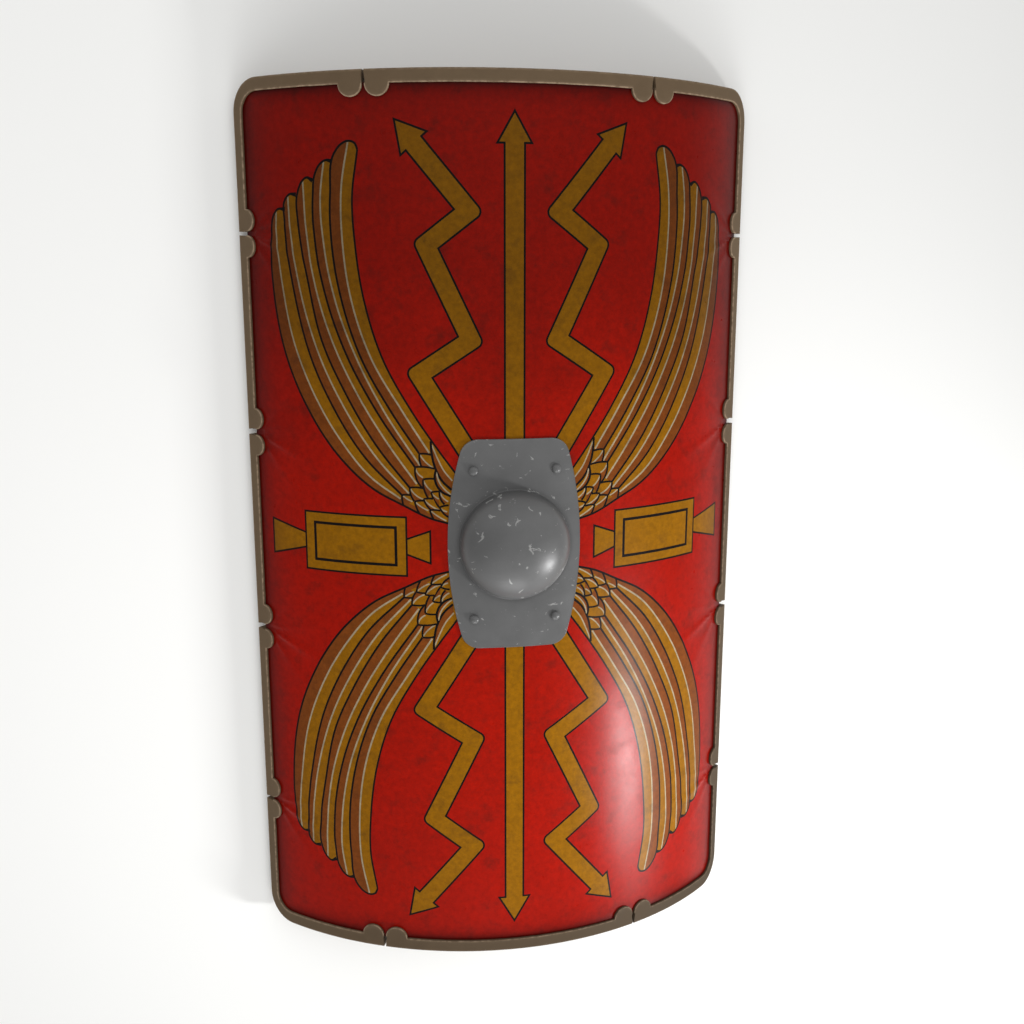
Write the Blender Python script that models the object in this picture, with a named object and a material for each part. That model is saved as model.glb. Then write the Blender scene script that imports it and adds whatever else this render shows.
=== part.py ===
"""A Roman scutum, the curved rectangular shield, lying on its two long sides with the boss up.

X runs across the shield, Y along its height towards the upper edge, and Z out of the painted face.
The origin is on the ground under the middle. Sheet pieces are drawn flat, as (along the curve, height,
level above the painted face), and then folded to the curve along the same fold lines, so that every
piece keeps its clearance to the next all the way round.
"""
import math

import bmesh
import bpy
import numpy as np

# Overall form
HEIGHT = 1.060                # upper edge to lower edge, outside the binding
ARC_WIDTH = 0.6846            # side to side along the curve of the painted face
FACE_RADIUS = 0.424           # radius of the painted face's curve
FOLD_STRIPS = 44              # flat strips that stand for the curve

# Board and cover
BOARD_THICKNESS = 0.006
COVER_THICKNESS = 0.0012
CLEARANCE = 0.0003            # between pieces that touch

# Edge binding
SIDE_BINDING_WIDTH = 0.0126   # on the face, along the two long sides
END_BINDING_WIDTH = 0.0150    # on the face, along the upper and lower edges
BINDING_FLANGE = 0.0032       # thickness over the face and over the back
GROOVE_DEPTH = 0.0020         # how far the board's edge enters the binding
CORNER_RADIUS = 0.037         # outer corner
INNER_CORNER_RADIUS = 0.023   # corner of the binding's inner line
SIDE_GAP_OUTER = 0.3582       # height of the gaps near the corners
SIDE_GAP_INNER = 0.1236       # height of the gaps near the middle
SIDE_GAP_OUTER_WIDTH = 0.0042
SIDE_GAP_INNER_WIDTH = 0.0066
END_GAP = 0.1665              # gaps of the upper and lower edges, from the middle
END_GAP_WIDTH = 0.0028
SIDE_LOBE_LENGTH = 0.0256
SIDE_LOBE_DEPTH = 0.0118
END_LOBE_LENGTH = 0.0280
END_LOBE_DEPTH = 0.0136
LOBE_STEPS = 10
CORNER_STEPS = 8

# Boss
BOSS_WIDTH = 0.1590           # across the middle of its plate
BOSS_HEIGHT = 0.2520
BOSS_SIDE_RADIUS = 0.400      # bulge of the plate's long sides
BOSS_CORNER_RADIUS = 0.022
BOSS_SHEET = 0.0020
DOME_RADIUS = 0.0655
DOME_RISE = 0.038             # above the plate
DOME_SIDES = 36
DOME_RINGS = 8

# Rivets of the boss
RIVET_SIDE_INSET = 0.0308     # from the plate's widest line
RIVET_END_INSET = 0.0365      # from the plate's upper and lower edges
RIVET_HEAD_RADIUS = 0.0056
RIVET_HEAD_HEIGHT = 0.0042
RIVET_SHANK_RADIUS = 0.0025
RIVET_TAIL_RADIUS = 0.0050
RIVET_TAIL_HEIGHT = 0.0015
RIVET_SIDES = 12

# Hand hole and grip
HAND_HOLE_INSET = 0.0040      # the hole's edge inside the dome's inner edge
HAND_HOLE_SIDES = 40
GRIP_LENGTH = 0.190
GRIP_END_HEIGHT = 0.040
GRIP_HAND_HEIGHT = 0.030
GRIP_DEPTH = 0.024            # behind the board, at the middle
GRIP_HAND_LENGTH = 0.100      # the stretch that is rounded for the hand
GRIP_BLEND_LENGTH = 0.014     # from the rounded stretch to the square ends
GRIP_SIDES = 24
GRIP_STATIONS = 20
SEAT_MARGIN = 0.010           # how far the seat's cutter reaches past what it cuts

# Worked out from the sizes above
HALF_HEIGHT = HEIGHT / 2
HALF_ARC = ARC_WIDTH / 2
STRIP = ARC_WIDTH / FOLD_STRIPS
INNER_S = HALF_ARC - SIDE_BINDING_WIDTH
INNER_V = HALF_HEIGHT - END_BINDING_WIDTH
COVER_BACK = -COVER_THICKNESS
BOARD_FRONT = COVER_BACK - CLEARANCE
BOARD_BACK = BOARD_FRONT - BOARD_THICKNESS
GROOVE_FRONT = CLEARANCE
GROOVE_BACK = BOARD_BACK - CLEARANCE
BINDING_FRONT = GROOVE_FRONT + BINDING_FLANGE
BINDING_BACK = GROOVE_BACK - BINDING_FLANGE
PLATE_BACK = CLEARANCE
PLATE_FRONT = PLATE_BACK + BOSS_SHEET
HAND_HOLE_RADIUS = DOME_RADIUS - BOSS_SHEET - HAND_HOLE_INSET
RIVET_S = BOSS_WIDTH / 2 - RIVET_SIDE_INSET
RIVET_V = BOSS_HEIGHT / 2 - RIVET_END_INSET
RIVET_HOLE_RADIUS = RIVET_SHANK_RADIUS + CLEARANCE
AXIS_Z = -(FACE_RADIUS + BINDING_BACK) * math.cos(HALF_ARC / FACE_RADIUS)


def clear_scene():
    """Remove whatever the scene held."""
    for item in list(bpy.data.objects):
        bpy.data.objects.remove(item, do_unlink=True)


def principled(name, colour, roughness, metallic):
    """A plain material with the piece's colour, roughness and metallic value."""
    material = bpy.data.materials.new(name)
    material.use_nodes = True
    shader = material.node_tree.nodes["Principled BSDF"]
    shader.inputs["Base Color"].default_value = (*colour, 1.0)
    shader.inputs["Roughness"].default_value = roughness
    shader.inputs["Metallic"].default_value = metallic
    return material


def arc(centre, radii, start, end, steps):
    """Points of an elliptic arc from one angle to another, in degrees."""
    angles = np.radians(np.linspace(start, end, steps + 1))
    return [(centre[0] + radii[0] * math.cos(a), centre[1] + radii[1] * math.sin(a)) for a in angles]


def mirrored(outline, across, upright):
    """The outline turned over across the width, over the height, or both."""
    return [(s * across, v * upright) for s, v in outline]


def rounded_rectangle(half_s, half_v, radius):
    """A rectangle about the middle with round corners."""
    corner = arc((half_s - radius, half_v - radius), (radius, radius), 0, 90, CORNER_STEPS)
    outline = list(corner)
    outline += reversed(mirrored(corner, -1, 1))
    outline += mirrored(corner, -1, -1)
    outline += reversed(mirrored(corner, 1, -1))
    return outline


def circle(centre, radius, sides):
    """A round outline."""
    return arc(centre, (radius, radius), 0, 360 * (sides - 1) / sides, sides - 1)


def add_object(name, mesh):
    """Put a mesh in the scene."""
    item = bpy.data.objects.new(name, mesh)
    bpy.context.scene.collection.objects.link(item)
    return item


def prism(name, outline, low, high):
    """A flat sheet of this outline between two levels."""
    bm = bmesh.new()
    face = bm.faces.new([bm.verts.new((s, v, low)) for s, v in outline])
    top = bmesh.ops.extrude_face_region(bm, geom=[face])
    risen = [part for part in top["geom"] if isinstance(part, bmesh.types.BMVert)]
    bmesh.ops.translate(bm, verts=risen, vec=(0, 0, high - low))
    bmesh.ops.recalc_face_normals(bm, faces=bm.faces)
    mesh = bpy.data.meshes.new(name)
    bm.to_mesh(mesh)
    bm.free()
    return add_object(name, mesh)


def skin(name, rings, first_pole=None, last_pole=None):
    """A closed solid over rings of equal count, ended by flat faces or by poles."""
    bm = bmesh.new()
    rows = [[bm.verts.new(point) for point in ring] for ring in rings]
    for row, following in zip(rows, rows[1:]):
        for k in range(len(row)):
            after = (k + 1) % len(row)
            bm.faces.new((row[k], row[after], following[after], following[k]))
    for row, pole in ((rows[0], first_pole), (rows[-1], last_pole)):
        if pole is None:
            bm.faces.new(row)
            continue
        tip = bm.verts.new(pole)
        for k in range(len(row)):
            bm.faces.new((row[k], row[(k + 1) % len(row)], tip))
    bmesh.ops.recalc_face_normals(bm, faces=bm.faces)
    mesh = bpy.data.meshes.new(name)
    bm.to_mesh(mesh)
    bm.free()
    return add_object(name, mesh)


def turned(name, centre, profile, sides):
    """A solid turned about an upright line, from (radius, level) pairs that end at a pole or a face."""
    rings = []
    for radius, level in profile:
        if radius > 0:
            rings.append([(s, v, level) for s, v in circle(centre, radius, sides)])
    poles = [(*centre, level) if radius == 0 else None for radius, level in (profile[0], profile[-1])]
    return skin(name, rings, *poles)


def combine(item, other, operation):
    """Cut, join or trim a piece by another, which is used up."""
    boolean = item.modifiers.new("combine", "BOOLEAN")
    boolean.operation = operation
    boolean.solver = "EXACT"
    boolean.object = other
    other.hide_render = True
    other.display_type = "WIRE"
    graph = bpy.context.evaluated_depsgraph_get()
    mesh = bpy.data.meshes.new_from_object(item.evaluated_get(graph))
    item.modifiers.clear()
    item.data = mesh
    bpy.data.objects.remove(other, do_unlink=True)


def bend(flat):
    """World points of flat ones: rows of along the curve, height and level.

    The angle of a fold line is its distance along the curve over the face's radius. A point between
    two fold lines lies on the straight line between them, so a strip stays flat.
    """
    s, v, level = flat.T
    strip = np.clip(np.floor((s + HALF_ARC) / STRIP), 0, FOLD_STRIPS - 1)
    left = (strip * STRIP - HALF_ARC) / FACE_RADIUS
    right = left + STRIP / FACE_RADIUS
    share = (s - left * FACE_RADIUS) / STRIP
    radius = FACE_RADIUS + level
    across = radius * ((1 - share) * np.sin(left) + share * np.sin(right))
    up = radius * ((1 - share) * np.cos(left) + share * np.cos(right)) + AXIS_Z
    return np.column_stack((across, v, up))


def fold(item, highest=math.inf):
    """Crease a flat piece along the fold lines, up to a level, and bend it to the curve."""
    bm = bmesh.new()
    bm.from_mesh(item.data)
    reach = max(abs(vert.co.x) for vert in bm.verts)
    for line in range(1, FOLD_STRIPS):
        place = line * STRIP - HALF_ARC
        if abs(place) >= reach:
            continue
        faces = [face for face in bm.faces if all(vert.co.z <= highest for vert in face.verts)]
        edges = list({edge for face in faces for edge in face.edges})
        verts = list({vert for face in faces for vert in face.verts})
        bmesh.ops.bisect_plane(bm, geom=verts + edges + faces, dist=1e-7,
                               plane_co=(place, 0, 0), plane_no=(1, 0, 0))
    bmesh.ops.triangulate(bm, faces=bm.faces)
    bm.to_mesh(item.data)
    bm.free()
    places = np.empty(len(item.data.vertices) * 3)
    item.data.vertices.foreach_get("co", places)
    item.data.vertices.foreach_set("co", bend(places.reshape(-1, 3)).ravel())
    item.data.update()


def finish(item, material):
    """Give a piece its material and smooth its round faces."""
    item.data.materials.clear()
    item.data.materials.append(material)
    item.data.shade_smooth()
    item.data.set_sharp_from_angle(angle=math.radians(28))


def rivet_places():
    """The four rivets: a name and a place on the flat plate for each."""
    places = {}
    for height, upright in (("upper", 1), ("lower", -1)):
        for side, across in (("left", -1), ("right", 1)):
            places[f"{height}_{side}"] = (across * RIVET_S, upright * RIVET_V)
    return places


def drill(item, low, high):
    """Make the four rivet holes through a flat piece."""
    for name, place in rivet_places().items():
        outline = circle(place, RIVET_HOLE_RADIUS, RIVET_SIDES)
        combine(item, prism(f"drill_{name}", outline, low - CLEARANCE, high + CLEARANCE), "DIFFERENCE")


def make_sheet(name, low, high, material):
    """The board or its cover: the same outline, hand hole and rivet holes between two levels."""
    radius = INNER_CORNER_RADIUS + GROOVE_DEPTH
    outline = rounded_rectangle(INNER_S + GROOVE_DEPTH, INNER_V + GROOVE_DEPTH, radius)
    sheet = prism(name, outline, low, high)
    hole = circle((0, 0), HAND_HOLE_RADIUS, HAND_HOLE_SIDES)
    combine(sheet, prism("hand_hole", hole, low - CLEARANCE, high + CLEARANCE), "DIFFERENCE")
    drill(sheet, low, high)
    fold(sheet)
    finish(sheet, material)


def lobe(start, along, inward, length, depth):
    """Half an ellipse that begins at start, runs along the binding and bulges inwards."""
    angles = np.radians(np.linspace(0, 180, LOBE_STEPS + 1))
    points = []
    for a in angles:
        run = (1 - math.cos(a)) * length / 2
        bulge = math.sin(a) * depth
        points.append((start[0] + along[0] * run + inward[0] * bulge,
                       start[1] + along[1] * run + inward[1] * bulge))
    return points


def side_lobe(v, upward):
    """The lobe on a right-hand side binding that begins at this height and runs up or down."""
    return lobe((INNER_S, v), (0, upward), (-1, 0), SIDE_LOBE_LENGTH, SIDE_LOBE_DEPTH)


def end_lobe(s, outward):
    """The lobe on the upper binding that begins at this place and runs to the right or left."""
    return lobe((s, INNER_V), (outward, 0), (0, -1), END_LOBE_LENGTH, END_LOBE_DEPTH)


def side_outline(low, high):
    """A straight length on the right-hand side between two heights, with a lobe at both ends."""
    outline = [(HALF_ARC, high), (HALF_ARC, low)]
    outline += side_lobe(low, 1)
    outline += reversed(side_lobe(high, -1))
    return outline


def end_outline():
    """The middle length of the upper edge."""
    edge = END_GAP - END_GAP_WIDTH / 2
    outline = [(-edge, HALF_HEIGHT), (edge, HALF_HEIGHT)]
    outline += end_lobe(edge, -1)
    outline += reversed(end_lobe(-edge, 1))
    return outline


def corner_outline():
    """The upper right corner length, from the upper edge's gap round to the side's outer gap."""
    first = END_GAP + END_GAP_WIDTH / 2
    last = SIDE_GAP_OUTER + SIDE_GAP_OUTER_WIDTH / 2
    outer = (HALF_ARC - CORNER_RADIUS, HALF_HEIGHT - CORNER_RADIUS)
    inner = (INNER_S - INNER_CORNER_RADIUS, INNER_V - INNER_CORNER_RADIUS)
    outline = [(first, HALF_HEIGHT)]
    outline += arc(outer, (CORNER_RADIUS, CORNER_RADIUS), 90, 0, CORNER_STEPS)
    outline += [(HALF_ARC, last)]
    outline += side_lobe(last, 1)
    outline += arc(inner, (INNER_CORNER_RADIUS, INNER_CORNER_RADIUS), 0, 90, CORNER_STEPS)
    outline += reversed(end_lobe(first, 1))
    return outline


def make_binding(name, outline, material):
    """One length of binding: the outline between both flanges, less the groove for the board's edge."""
    piece = prism(name, outline, BINDING_BACK, BINDING_FRONT)
    reach = GROOVE_DEPTH + CLEARANCE
    groove = rounded_rectangle(INNER_S + reach, INNER_V + reach, INNER_CORNER_RADIUS + reach)
    combine(piece, prism("groove", groove, GROOVE_BACK, GROOVE_FRONT), "DIFFERENCE")
    fold(piece)
    finish(piece, material)


def make_bindings(material):
    """All twelve lengths of binding, right and upper ones drawn and the others mirrored."""
    inner_edge = SIDE_GAP_INNER - SIDE_GAP_INNER_WIDTH / 2
    upper = side_outline(SIDE_GAP_INNER + SIDE_GAP_INNER_WIDTH / 2, SIDE_GAP_OUTER - SIDE_GAP_OUTER_WIDTH / 2)
    middle = side_outline(-inner_edge, inner_edge)
    for end, upright in (("top", 1), ("bottom", -1)):
        make_binding(f"binding_{end}", mirrored(end_outline(), 1, upright), material)
        for side, across in (("left", -1), ("right", 1)):
            corner = mirrored(corner_outline(), across, upright)
            make_binding(f"binding_corner_{end}_{side}", corner, material)
    for side, across in (("left", -1), ("right", 1)):
        make_binding(f"binding_{side}_upper", mirrored(upper, across, 1), material)
        make_binding(f"binding_{side}_middle", mirrored(middle, across, 1), material)
        make_binding(f"binding_{side}_lower", mirrored(upper, across, -1), material)


def plate_outline():
    """The boss plate: straight ends, long sides that bulge on an arc, and round corners.

    The corner's circle touches the end line and the inside of the side's arc, so its centre lies one
    corner radius below the end and at the side's radius less the corner's from the side's centre.
    """
    side_centre = BOSS_WIDTH / 2 - BOSS_SIDE_RADIUS
    corner_v = BOSS_HEIGHT / 2 - BOSS_CORNER_RADIUS
    reach = BOSS_SIDE_RADIUS - BOSS_CORNER_RADIUS
    corner_s = side_centre + math.sqrt(reach ** 2 - corner_v ** 2)
    lean = math.degrees(math.asin(corner_v / reach))
    side = arc((side_centre, 0), (BOSS_SIDE_RADIUS, BOSS_SIDE_RADIUS), 0, lean, CORNER_STEPS)
    corner = arc((corner_s, corner_v), (BOSS_CORNER_RADIUS, BOSS_CORNER_RADIUS), lean, 90, CORNER_STEPS)
    quarter = side + corner[1:]
    outline = list(quarter)
    outline += reversed(mirrored(quarter, -1, 1))
    outline += mirrored(quarter, -1, -1)[1:]
    outline += list(reversed(mirrored(quarter, 1, -1)))[:-1]
    return outline


def dome_profile(radius, rise, base, foot):
    """A dome from its foot to its crown: a quarter of an ellipse over an upright rim."""
    angles = np.radians(np.linspace(0, 90, DOME_RINGS + 1)[:-1])
    curve = [(radius * math.cos(a), base + rise * math.sin(a)) for a in angles]
    return [(radius, foot)] + curve + [(0, base + rise)]


def make_boss(material):
    """The iron boss: plate and dome of one sheet, hollow behind, drilled for the rivets."""
    boss = prism("boss", plate_outline(), PLATE_BACK, PLATE_FRONT)
    inside_sheet = (PLATE_BACK + PLATE_FRONT) / 2
    dome = dome_profile(DOME_RADIUS, DOME_RISE, PLATE_FRONT, inside_sheet)
    combine(boss, turned("dome", (0, 0), dome, DOME_SIDES), "UNION")
    hollow = dome_profile(DOME_RADIUS - BOSS_SHEET, DOME_RISE, PLATE_BACK, PLATE_BACK - BOSS_SHEET)
    combine(boss, turned("hollow", (0, 0), hollow, DOME_SIDES), "DIFFERENCE")
    drill(boss, PLATE_BACK, PLATE_FRONT)
    fold(boss, highest=PLATE_FRONT + CLEARANCE)
    finish(boss, material)


def make_rivets(material):
    """The four rivets: a round head on the plate, a shank and a flat clenched tail on the board."""
    tail_top = BOARD_BACK - CLEARANCE
    head_foot = PLATE_FRONT + CLEARANCE
    profile = [(0, tail_top - RIVET_TAIL_HEIGHT), (RIVET_TAIL_RADIUS, tail_top - RIVET_TAIL_HEIGHT)]
    profile += [(RIVET_TAIL_RADIUS, tail_top), (RIVET_SHANK_RADIUS, tail_top)]
    profile += [(RIVET_SHANK_RADIUS, head_foot), (RIVET_HEAD_RADIUS, head_foot)]
    profile += [(RIVET_HEAD_RADIUS * math.cos(a), head_foot + RIVET_HEAD_HEIGHT * math.sin(a))
                for a in np.radians((25, 50, 72))]
    profile += [(0, head_foot + RIVET_HEAD_HEIGHT)]
    for name, place in rivet_places().items():
        rivet = turned(f"boss_rivet_{name}", place, profile, RIVET_SIDES)
        fold(rivet, highest=-math.inf)
        finish(rivet, material)


def make_grip(material):
    """The wooden grip: square ends that seat on the board, rounded for the hand between them."""
    board_back_z = AXIS_Z + FACE_RADIUS + BOARD_BACK - CLEARANCE
    back_z = board_back_z - GRIP_DEPTH
    along = np.linspace(-GRIP_LENGTH / 2, GRIP_LENGTH / 2, GRIP_STATIONS)
    square = np.clip((np.abs(along) - GRIP_HAND_LENGTH / 2) / GRIP_BLEND_LENGTH, 0, 1)
    angles = np.linspace(0, 2 * math.pi, GRIP_SIDES, endpoint=False)
    rings = []
    for x, share in zip(along, square):
        half_height = (GRIP_HAND_HEIGHT + share * (GRIP_END_HEIGHT - GRIP_HAND_HEIGHT)) / 2
        half_depth = (GRIP_DEPTH + share * SEAT_MARGIN) / 2
        power = 2 / (2.6 + 5 * share)
        y = half_height * np.sign(np.cos(angles)) * np.abs(np.cos(angles)) ** power
        z = half_depth * np.sign(np.sin(angles)) * np.abs(np.sin(angles)) ** power
        rings.append([(x, a, back_z + half_depth + b) for a, b in zip(y, z)])
    grip = skin("grip", rings)
    half_s = GRIP_LENGTH / 2 + SEAT_MARGIN
    half_v = GRIP_END_HEIGHT / 2 + SEAT_MARGIN
    seat = prism("seat", rounded_rectangle(half_s, half_v, SEAT_MARGIN), BOARD_BACK - CLEARANCE,
                 SEAT_MARGIN + SEAT_MARGIN)
    fold(seat)
    combine(grip, seat, "DIFFERENCE")
    finish(grip, material)


def main():
    """Model every piece of the shield."""
    clear_scene()
    lime_wood = principled("glued wood", (0.36, 0.22, 0.11), 0.7, 0.0)
    red_hide = principled("painted hide", (0.42, 0.015, 0.01), 0.42, 0.0)
    iron = principled("forged iron", (0.13, 0.13, 0.13), 0.42, 0.9)
    bronze = principled("dull bronze", (0.13, 0.10, 0.065), 0.5, 0.85)
    ash_wood = principled("handled wood", (0.30, 0.17, 0.08), 0.55, 0.0)
    make_sheet("board", BOARD_BACK, BOARD_FRONT, lime_wood)
    make_sheet("painted_cover", COVER_BACK, 0, red_hide)
    make_bindings(bronze)
    make_boss(iron)
    make_rivets(iron)
    make_grip(ash_wood)


main()
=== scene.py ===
# %% [markdown]
# # Dressing a Roman scutum
#
# The scutum is the curved shield of the Roman foot soldier: a sheet of glued wood strips, bent
# across its width, faced with painted hide, with an iron boss over the hand hole and bronze
# binding along its edges. The solid model already says where everything is. This lesson gives
# each piece its real surface. The shield lies with its boss up, on its two long sides.
#
# The first step loads the solid model. Every later piece is set around it, in the same metres.

# %% Load the solid model
import math

import bpy
import numpy as np
from mathutils import Matrix, Vector
from mathutils.geometry import delaunay_2d_cdt


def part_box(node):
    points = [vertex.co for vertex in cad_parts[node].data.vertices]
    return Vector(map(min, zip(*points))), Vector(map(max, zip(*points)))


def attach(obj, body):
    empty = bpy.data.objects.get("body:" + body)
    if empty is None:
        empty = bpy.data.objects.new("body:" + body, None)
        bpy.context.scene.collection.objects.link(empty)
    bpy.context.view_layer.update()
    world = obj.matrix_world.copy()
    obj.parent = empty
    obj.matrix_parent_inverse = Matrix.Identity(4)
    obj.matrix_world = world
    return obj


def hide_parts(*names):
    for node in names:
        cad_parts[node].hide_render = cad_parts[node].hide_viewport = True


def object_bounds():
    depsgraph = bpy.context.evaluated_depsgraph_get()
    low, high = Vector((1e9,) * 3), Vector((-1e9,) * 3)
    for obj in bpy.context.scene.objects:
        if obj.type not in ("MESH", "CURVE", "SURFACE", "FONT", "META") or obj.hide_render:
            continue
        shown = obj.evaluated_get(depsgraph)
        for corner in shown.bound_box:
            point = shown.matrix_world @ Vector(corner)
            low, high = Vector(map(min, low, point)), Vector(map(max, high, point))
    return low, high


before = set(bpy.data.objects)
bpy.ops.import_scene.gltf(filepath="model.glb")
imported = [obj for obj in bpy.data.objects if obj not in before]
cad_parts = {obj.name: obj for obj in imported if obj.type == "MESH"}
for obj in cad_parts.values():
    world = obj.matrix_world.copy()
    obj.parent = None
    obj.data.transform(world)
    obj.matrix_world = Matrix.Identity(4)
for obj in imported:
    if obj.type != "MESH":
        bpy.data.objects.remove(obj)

solid_low, solid_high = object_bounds()
print("solid model, mm:", [round((b - a) * 1000, 1) for a, b in zip(solid_low, solid_high)])

# %% [markdown]
# ## One way to place everything
#
# A real board is steamed flat and bent in a press, and what is fixed to it follows the same bend.
# So every sheet here is drawn flat first: s runs round the curve, v up the height, and n is the
# level above the painted face, all in millimetres. One function then bends the three to the curve.
# The face's radius is the one driving size, and the rest is read from the solid model.

# %% Flat sizes and the bend
MM = 0.001
FACE_RADIUS = 424.0          # of the painted face's curve
BINDING_FRONT = 3.5          # the binding's front, above the painted face
BINDING_BACK = -11.0         # the binding's back
GROOVE_FRONT = 0.3           # the binding's groove lies this far off the cover
GROOVE_BACK = -7.8
COVER_BACK = -1.2
BOARD_FRONT = -1.5
BOARD_BACK = -7.5
GROOVE_DEPTH = 2.0           # how far the board's edge enters the binding
SIDE_BINDING = 12.6          # width of the binding on the face, along the long sides
END_BINDING = 15.0           # and along the two ends

AXIS_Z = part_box("painted_cover")[1].z / MM - FACE_RADIUS
HALF_HEIGHT = solid_high.y / MM
HALF_ARC = FACE_RADIUS * math.asin(solid_high.x / MM / (FACE_RADIUS + BINDING_FRONT))
INNER_S = HALF_ARC - SIDE_BINDING
INNER_V = HALF_HEIGHT - END_BINDING


def bend(s, v, n):
    """Points in metres from flat places in mm.

    The angle round the shield's axis is s over the face's radius, and the distance from the axis is
    that radius plus the level n. The sine of the angle gives x and the cosine gives z.
    """
    s, v, n = np.broadcast_arrays(np.asarray(s, float), v, n)
    angle = s / FACE_RADIUS
    across = (FACE_RADIUS + n) * np.sin(angle)
    up = (FACE_RADIUS + n) * np.cos(angle) + AXIS_Z
    return np.stack([across, v, up], axis=-1) * MM


print("half arc", round(HALF_ARC, 2), "half height", round(HALF_HEIGHT, 2), "axis", round(AXIS_Z, 2))

# %% [markdown]
# ## From arrays to a mesh
#
# Every piece below ends as two tables: points, and faces that number those points. Blender takes
# both in one go, which is far quicker than adding vertices one by one. A grid of points needs only
# one rule for its faces, so that rule is written once and used for every swept or turned piece.

# %% Mesh helpers
def make_piece(name, points, face_tables, material, sharp_from=None):
    """Put a mesh in the scene. Each face table has one row of point numbers a face.

    Edges that turn by more than sharp_from degrees stay sharp, and the rest is shaded smooth.
    """
    mesh = bpy.data.meshes.new(name)
    mesh.vertices.add(len(points))
    mesh.vertices.foreach_set("co", np.ascontiguousarray(points, np.float32).ravel())
    corners = np.concatenate([table.ravel() for table in face_tables])
    counts = np.concatenate([np.full(len(table), table.shape[1]) for table in face_tables])
    mesh.loops.add(len(corners))
    mesh.loops.foreach_set("vertex_index", corners.astype(np.int32))
    mesh.polygons.add(len(counts))
    mesh.polygons.foreach_set("loop_start", (np.cumsum(counts) - counts).astype(np.int32))
    mesh.update(calc_edges=True)
    mesh.validate()
    mesh.materials.append(material)
    mesh.shade_smooth()
    if sharp_from is not None:
        mesh.set_sharp_from_angle(angle=math.radians(sharp_from))
    piece = bpy.data.objects.new(name, mesh)
    bpy.context.scene.collection.objects.link(piece)
    return piece


def grid_faces(rows, columns, closed_rows=False, closed_columns=False):
    """Four-sided faces over a grid of points, wrapping round where it is closed.

    Seen with the columns to the right and the rows upwards, the faces look at the viewer.
    """
    r = np.arange(rows if closed_rows else rows - 1)[:, None]
    c = np.arange(columns if closed_columns else columns - 1)[None, :]
    r_next, c_next = (r + 1) % rows, (c + 1) % columns
    corners = [r * columns + c, r * columns + c_next, r_next * columns + c_next, r_next * columns + c]
    return np.stack(np.broadcast_arrays(*corners), axis=-1).reshape(-1, 4)


def end_caps(rows, columns):
    """The two faces that close a loop of points swept along its rows."""
    first = np.arange(columns)
    return np.array([first[::-1], first + (rows - 1) * columns])


def turned_faces(rows, columns):
    """Faces of a closed turned body: rings, and fans to the two poles that follow the rings."""
    k = np.arange(columns)
    k_next = (k + 1) % columns
    last = (rows - 1) * columns
    pole = rows * columns
    fans = np.vstack([np.stack([k, k_next, np.full_like(k, pole)], -1),
                      np.stack([last + k_next, last + k, np.full_like(k, pole + 1)], -1)])
    return [grid_faces(rows, columns, closed_columns=True)[:, ::-1], fans]


def triangles(piece):
    """How many triangles a piece has."""
    mesh = piece.data
    return len(mesh.loops) - 2 * len(mesh.polygons)


def fasten(piece, node):
    """The piece stands for this solid, which is hidden, and moves with the shield."""
    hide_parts(node)
    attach(piece, "root")
    print(piece.name, "for", node, triangles(piece), "triangles")


# %% [markdown]
# ## Colours and nodes
#
# Colours are picked as sRGB hex values, as in a paint program, and one function turns them
# to the linear values that a shader works in. A material is a small graph, and one function adds a
# node to it with its settings and its links.

# %% Colour and node helpers
def colour(hex_value):
    """Linear red, green, blue and alpha of an sRGB hex value such as "8c1410"."""
    srgb = np.array([int(hex_value[k:k + 2], 16) for k in (0, 2, 4)]) / 255
    linear = np.where(srgb <= 0.04045, srgb / 12.92, ((srgb + 0.055) / 1.055) ** 2.4)
    return (*linear.tolist(), 1.0)


def node(tree, kind, inputs=None, **settings):
    """Add a node. Its inputs are given by name or number, each a value or another node's output."""
    made = tree.nodes.new("ShaderNode" + kind)
    for key, value in settings.items():
        setattr(made, key, value)
    for key, value in (inputs or {}).items():
        if isinstance(value, bpy.types.NodeSocket):
            tree.links.new(value, made.inputs[key])
        else:
            made.inputs[key].default_value = value
    return made


def new_material(name):
    """A material with a Principled shader: the material, its tree, the shader and object places."""
    material = bpy.data.materials.new(name)
    material.use_nodes = True
    tree = material.node_tree
    places = node(tree, "TexCoord").outputs["Object"]
    return material, tree, tree.nodes["Principled BSDF"], places


def per_mm(millimetres):
    """The texture scale at which one cell of a pattern is this many millimetres wide."""
    return 1.0 / (millimetres * MM)


def noise(tree, places, millimetres, detail=2.0, roughness=0.5, distortion=0.0):
    """Cloudy noise about 0.5 whose largest clouds are this many millimetres wide."""
    return node(tree, "TexNoise", {"Vector": places, "Scale": per_mm(millimetres), "Detail": detail,
                                   "Roughness": roughness, "Distortion": distortion}).outputs[0]


def mapped(tree, value, taken, given, **settings):
    """A value moved from one range to another and held at the ends of the second."""
    limits = zip(("From Min", "From Max", "To Min", "To Max"), (*taken, *given))
    return node(tree, "MapRange", {"Value": value, **dict(limits)}, **settings).outputs[0]


def maths(tree, operation, first, second=0.5, **settings):
    """The result of one operation on two values, or on the first alone."""
    return node(tree, "Math", {0: first, 1: second}, operation=operation, **settings).outputs[0]


def layered(tree, share, under, over):
    """The colour under where the share is 0 and the one over it where it is 1. Both may be hex."""
    under, over = [colour(layer) if isinstance(layer, str) else layer for layer in (under, over)]
    return node(tree, "Mix", {0: share, 6: under, 7: over}, data_type="RGBA").outputs[2]


def dimmed(tree, layer, factor):
    """The colour times a factor."""
    return node(tree, "VectorMath", {0: layer, "Scale": factor}, operation="SCALE").outputs[0]


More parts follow.
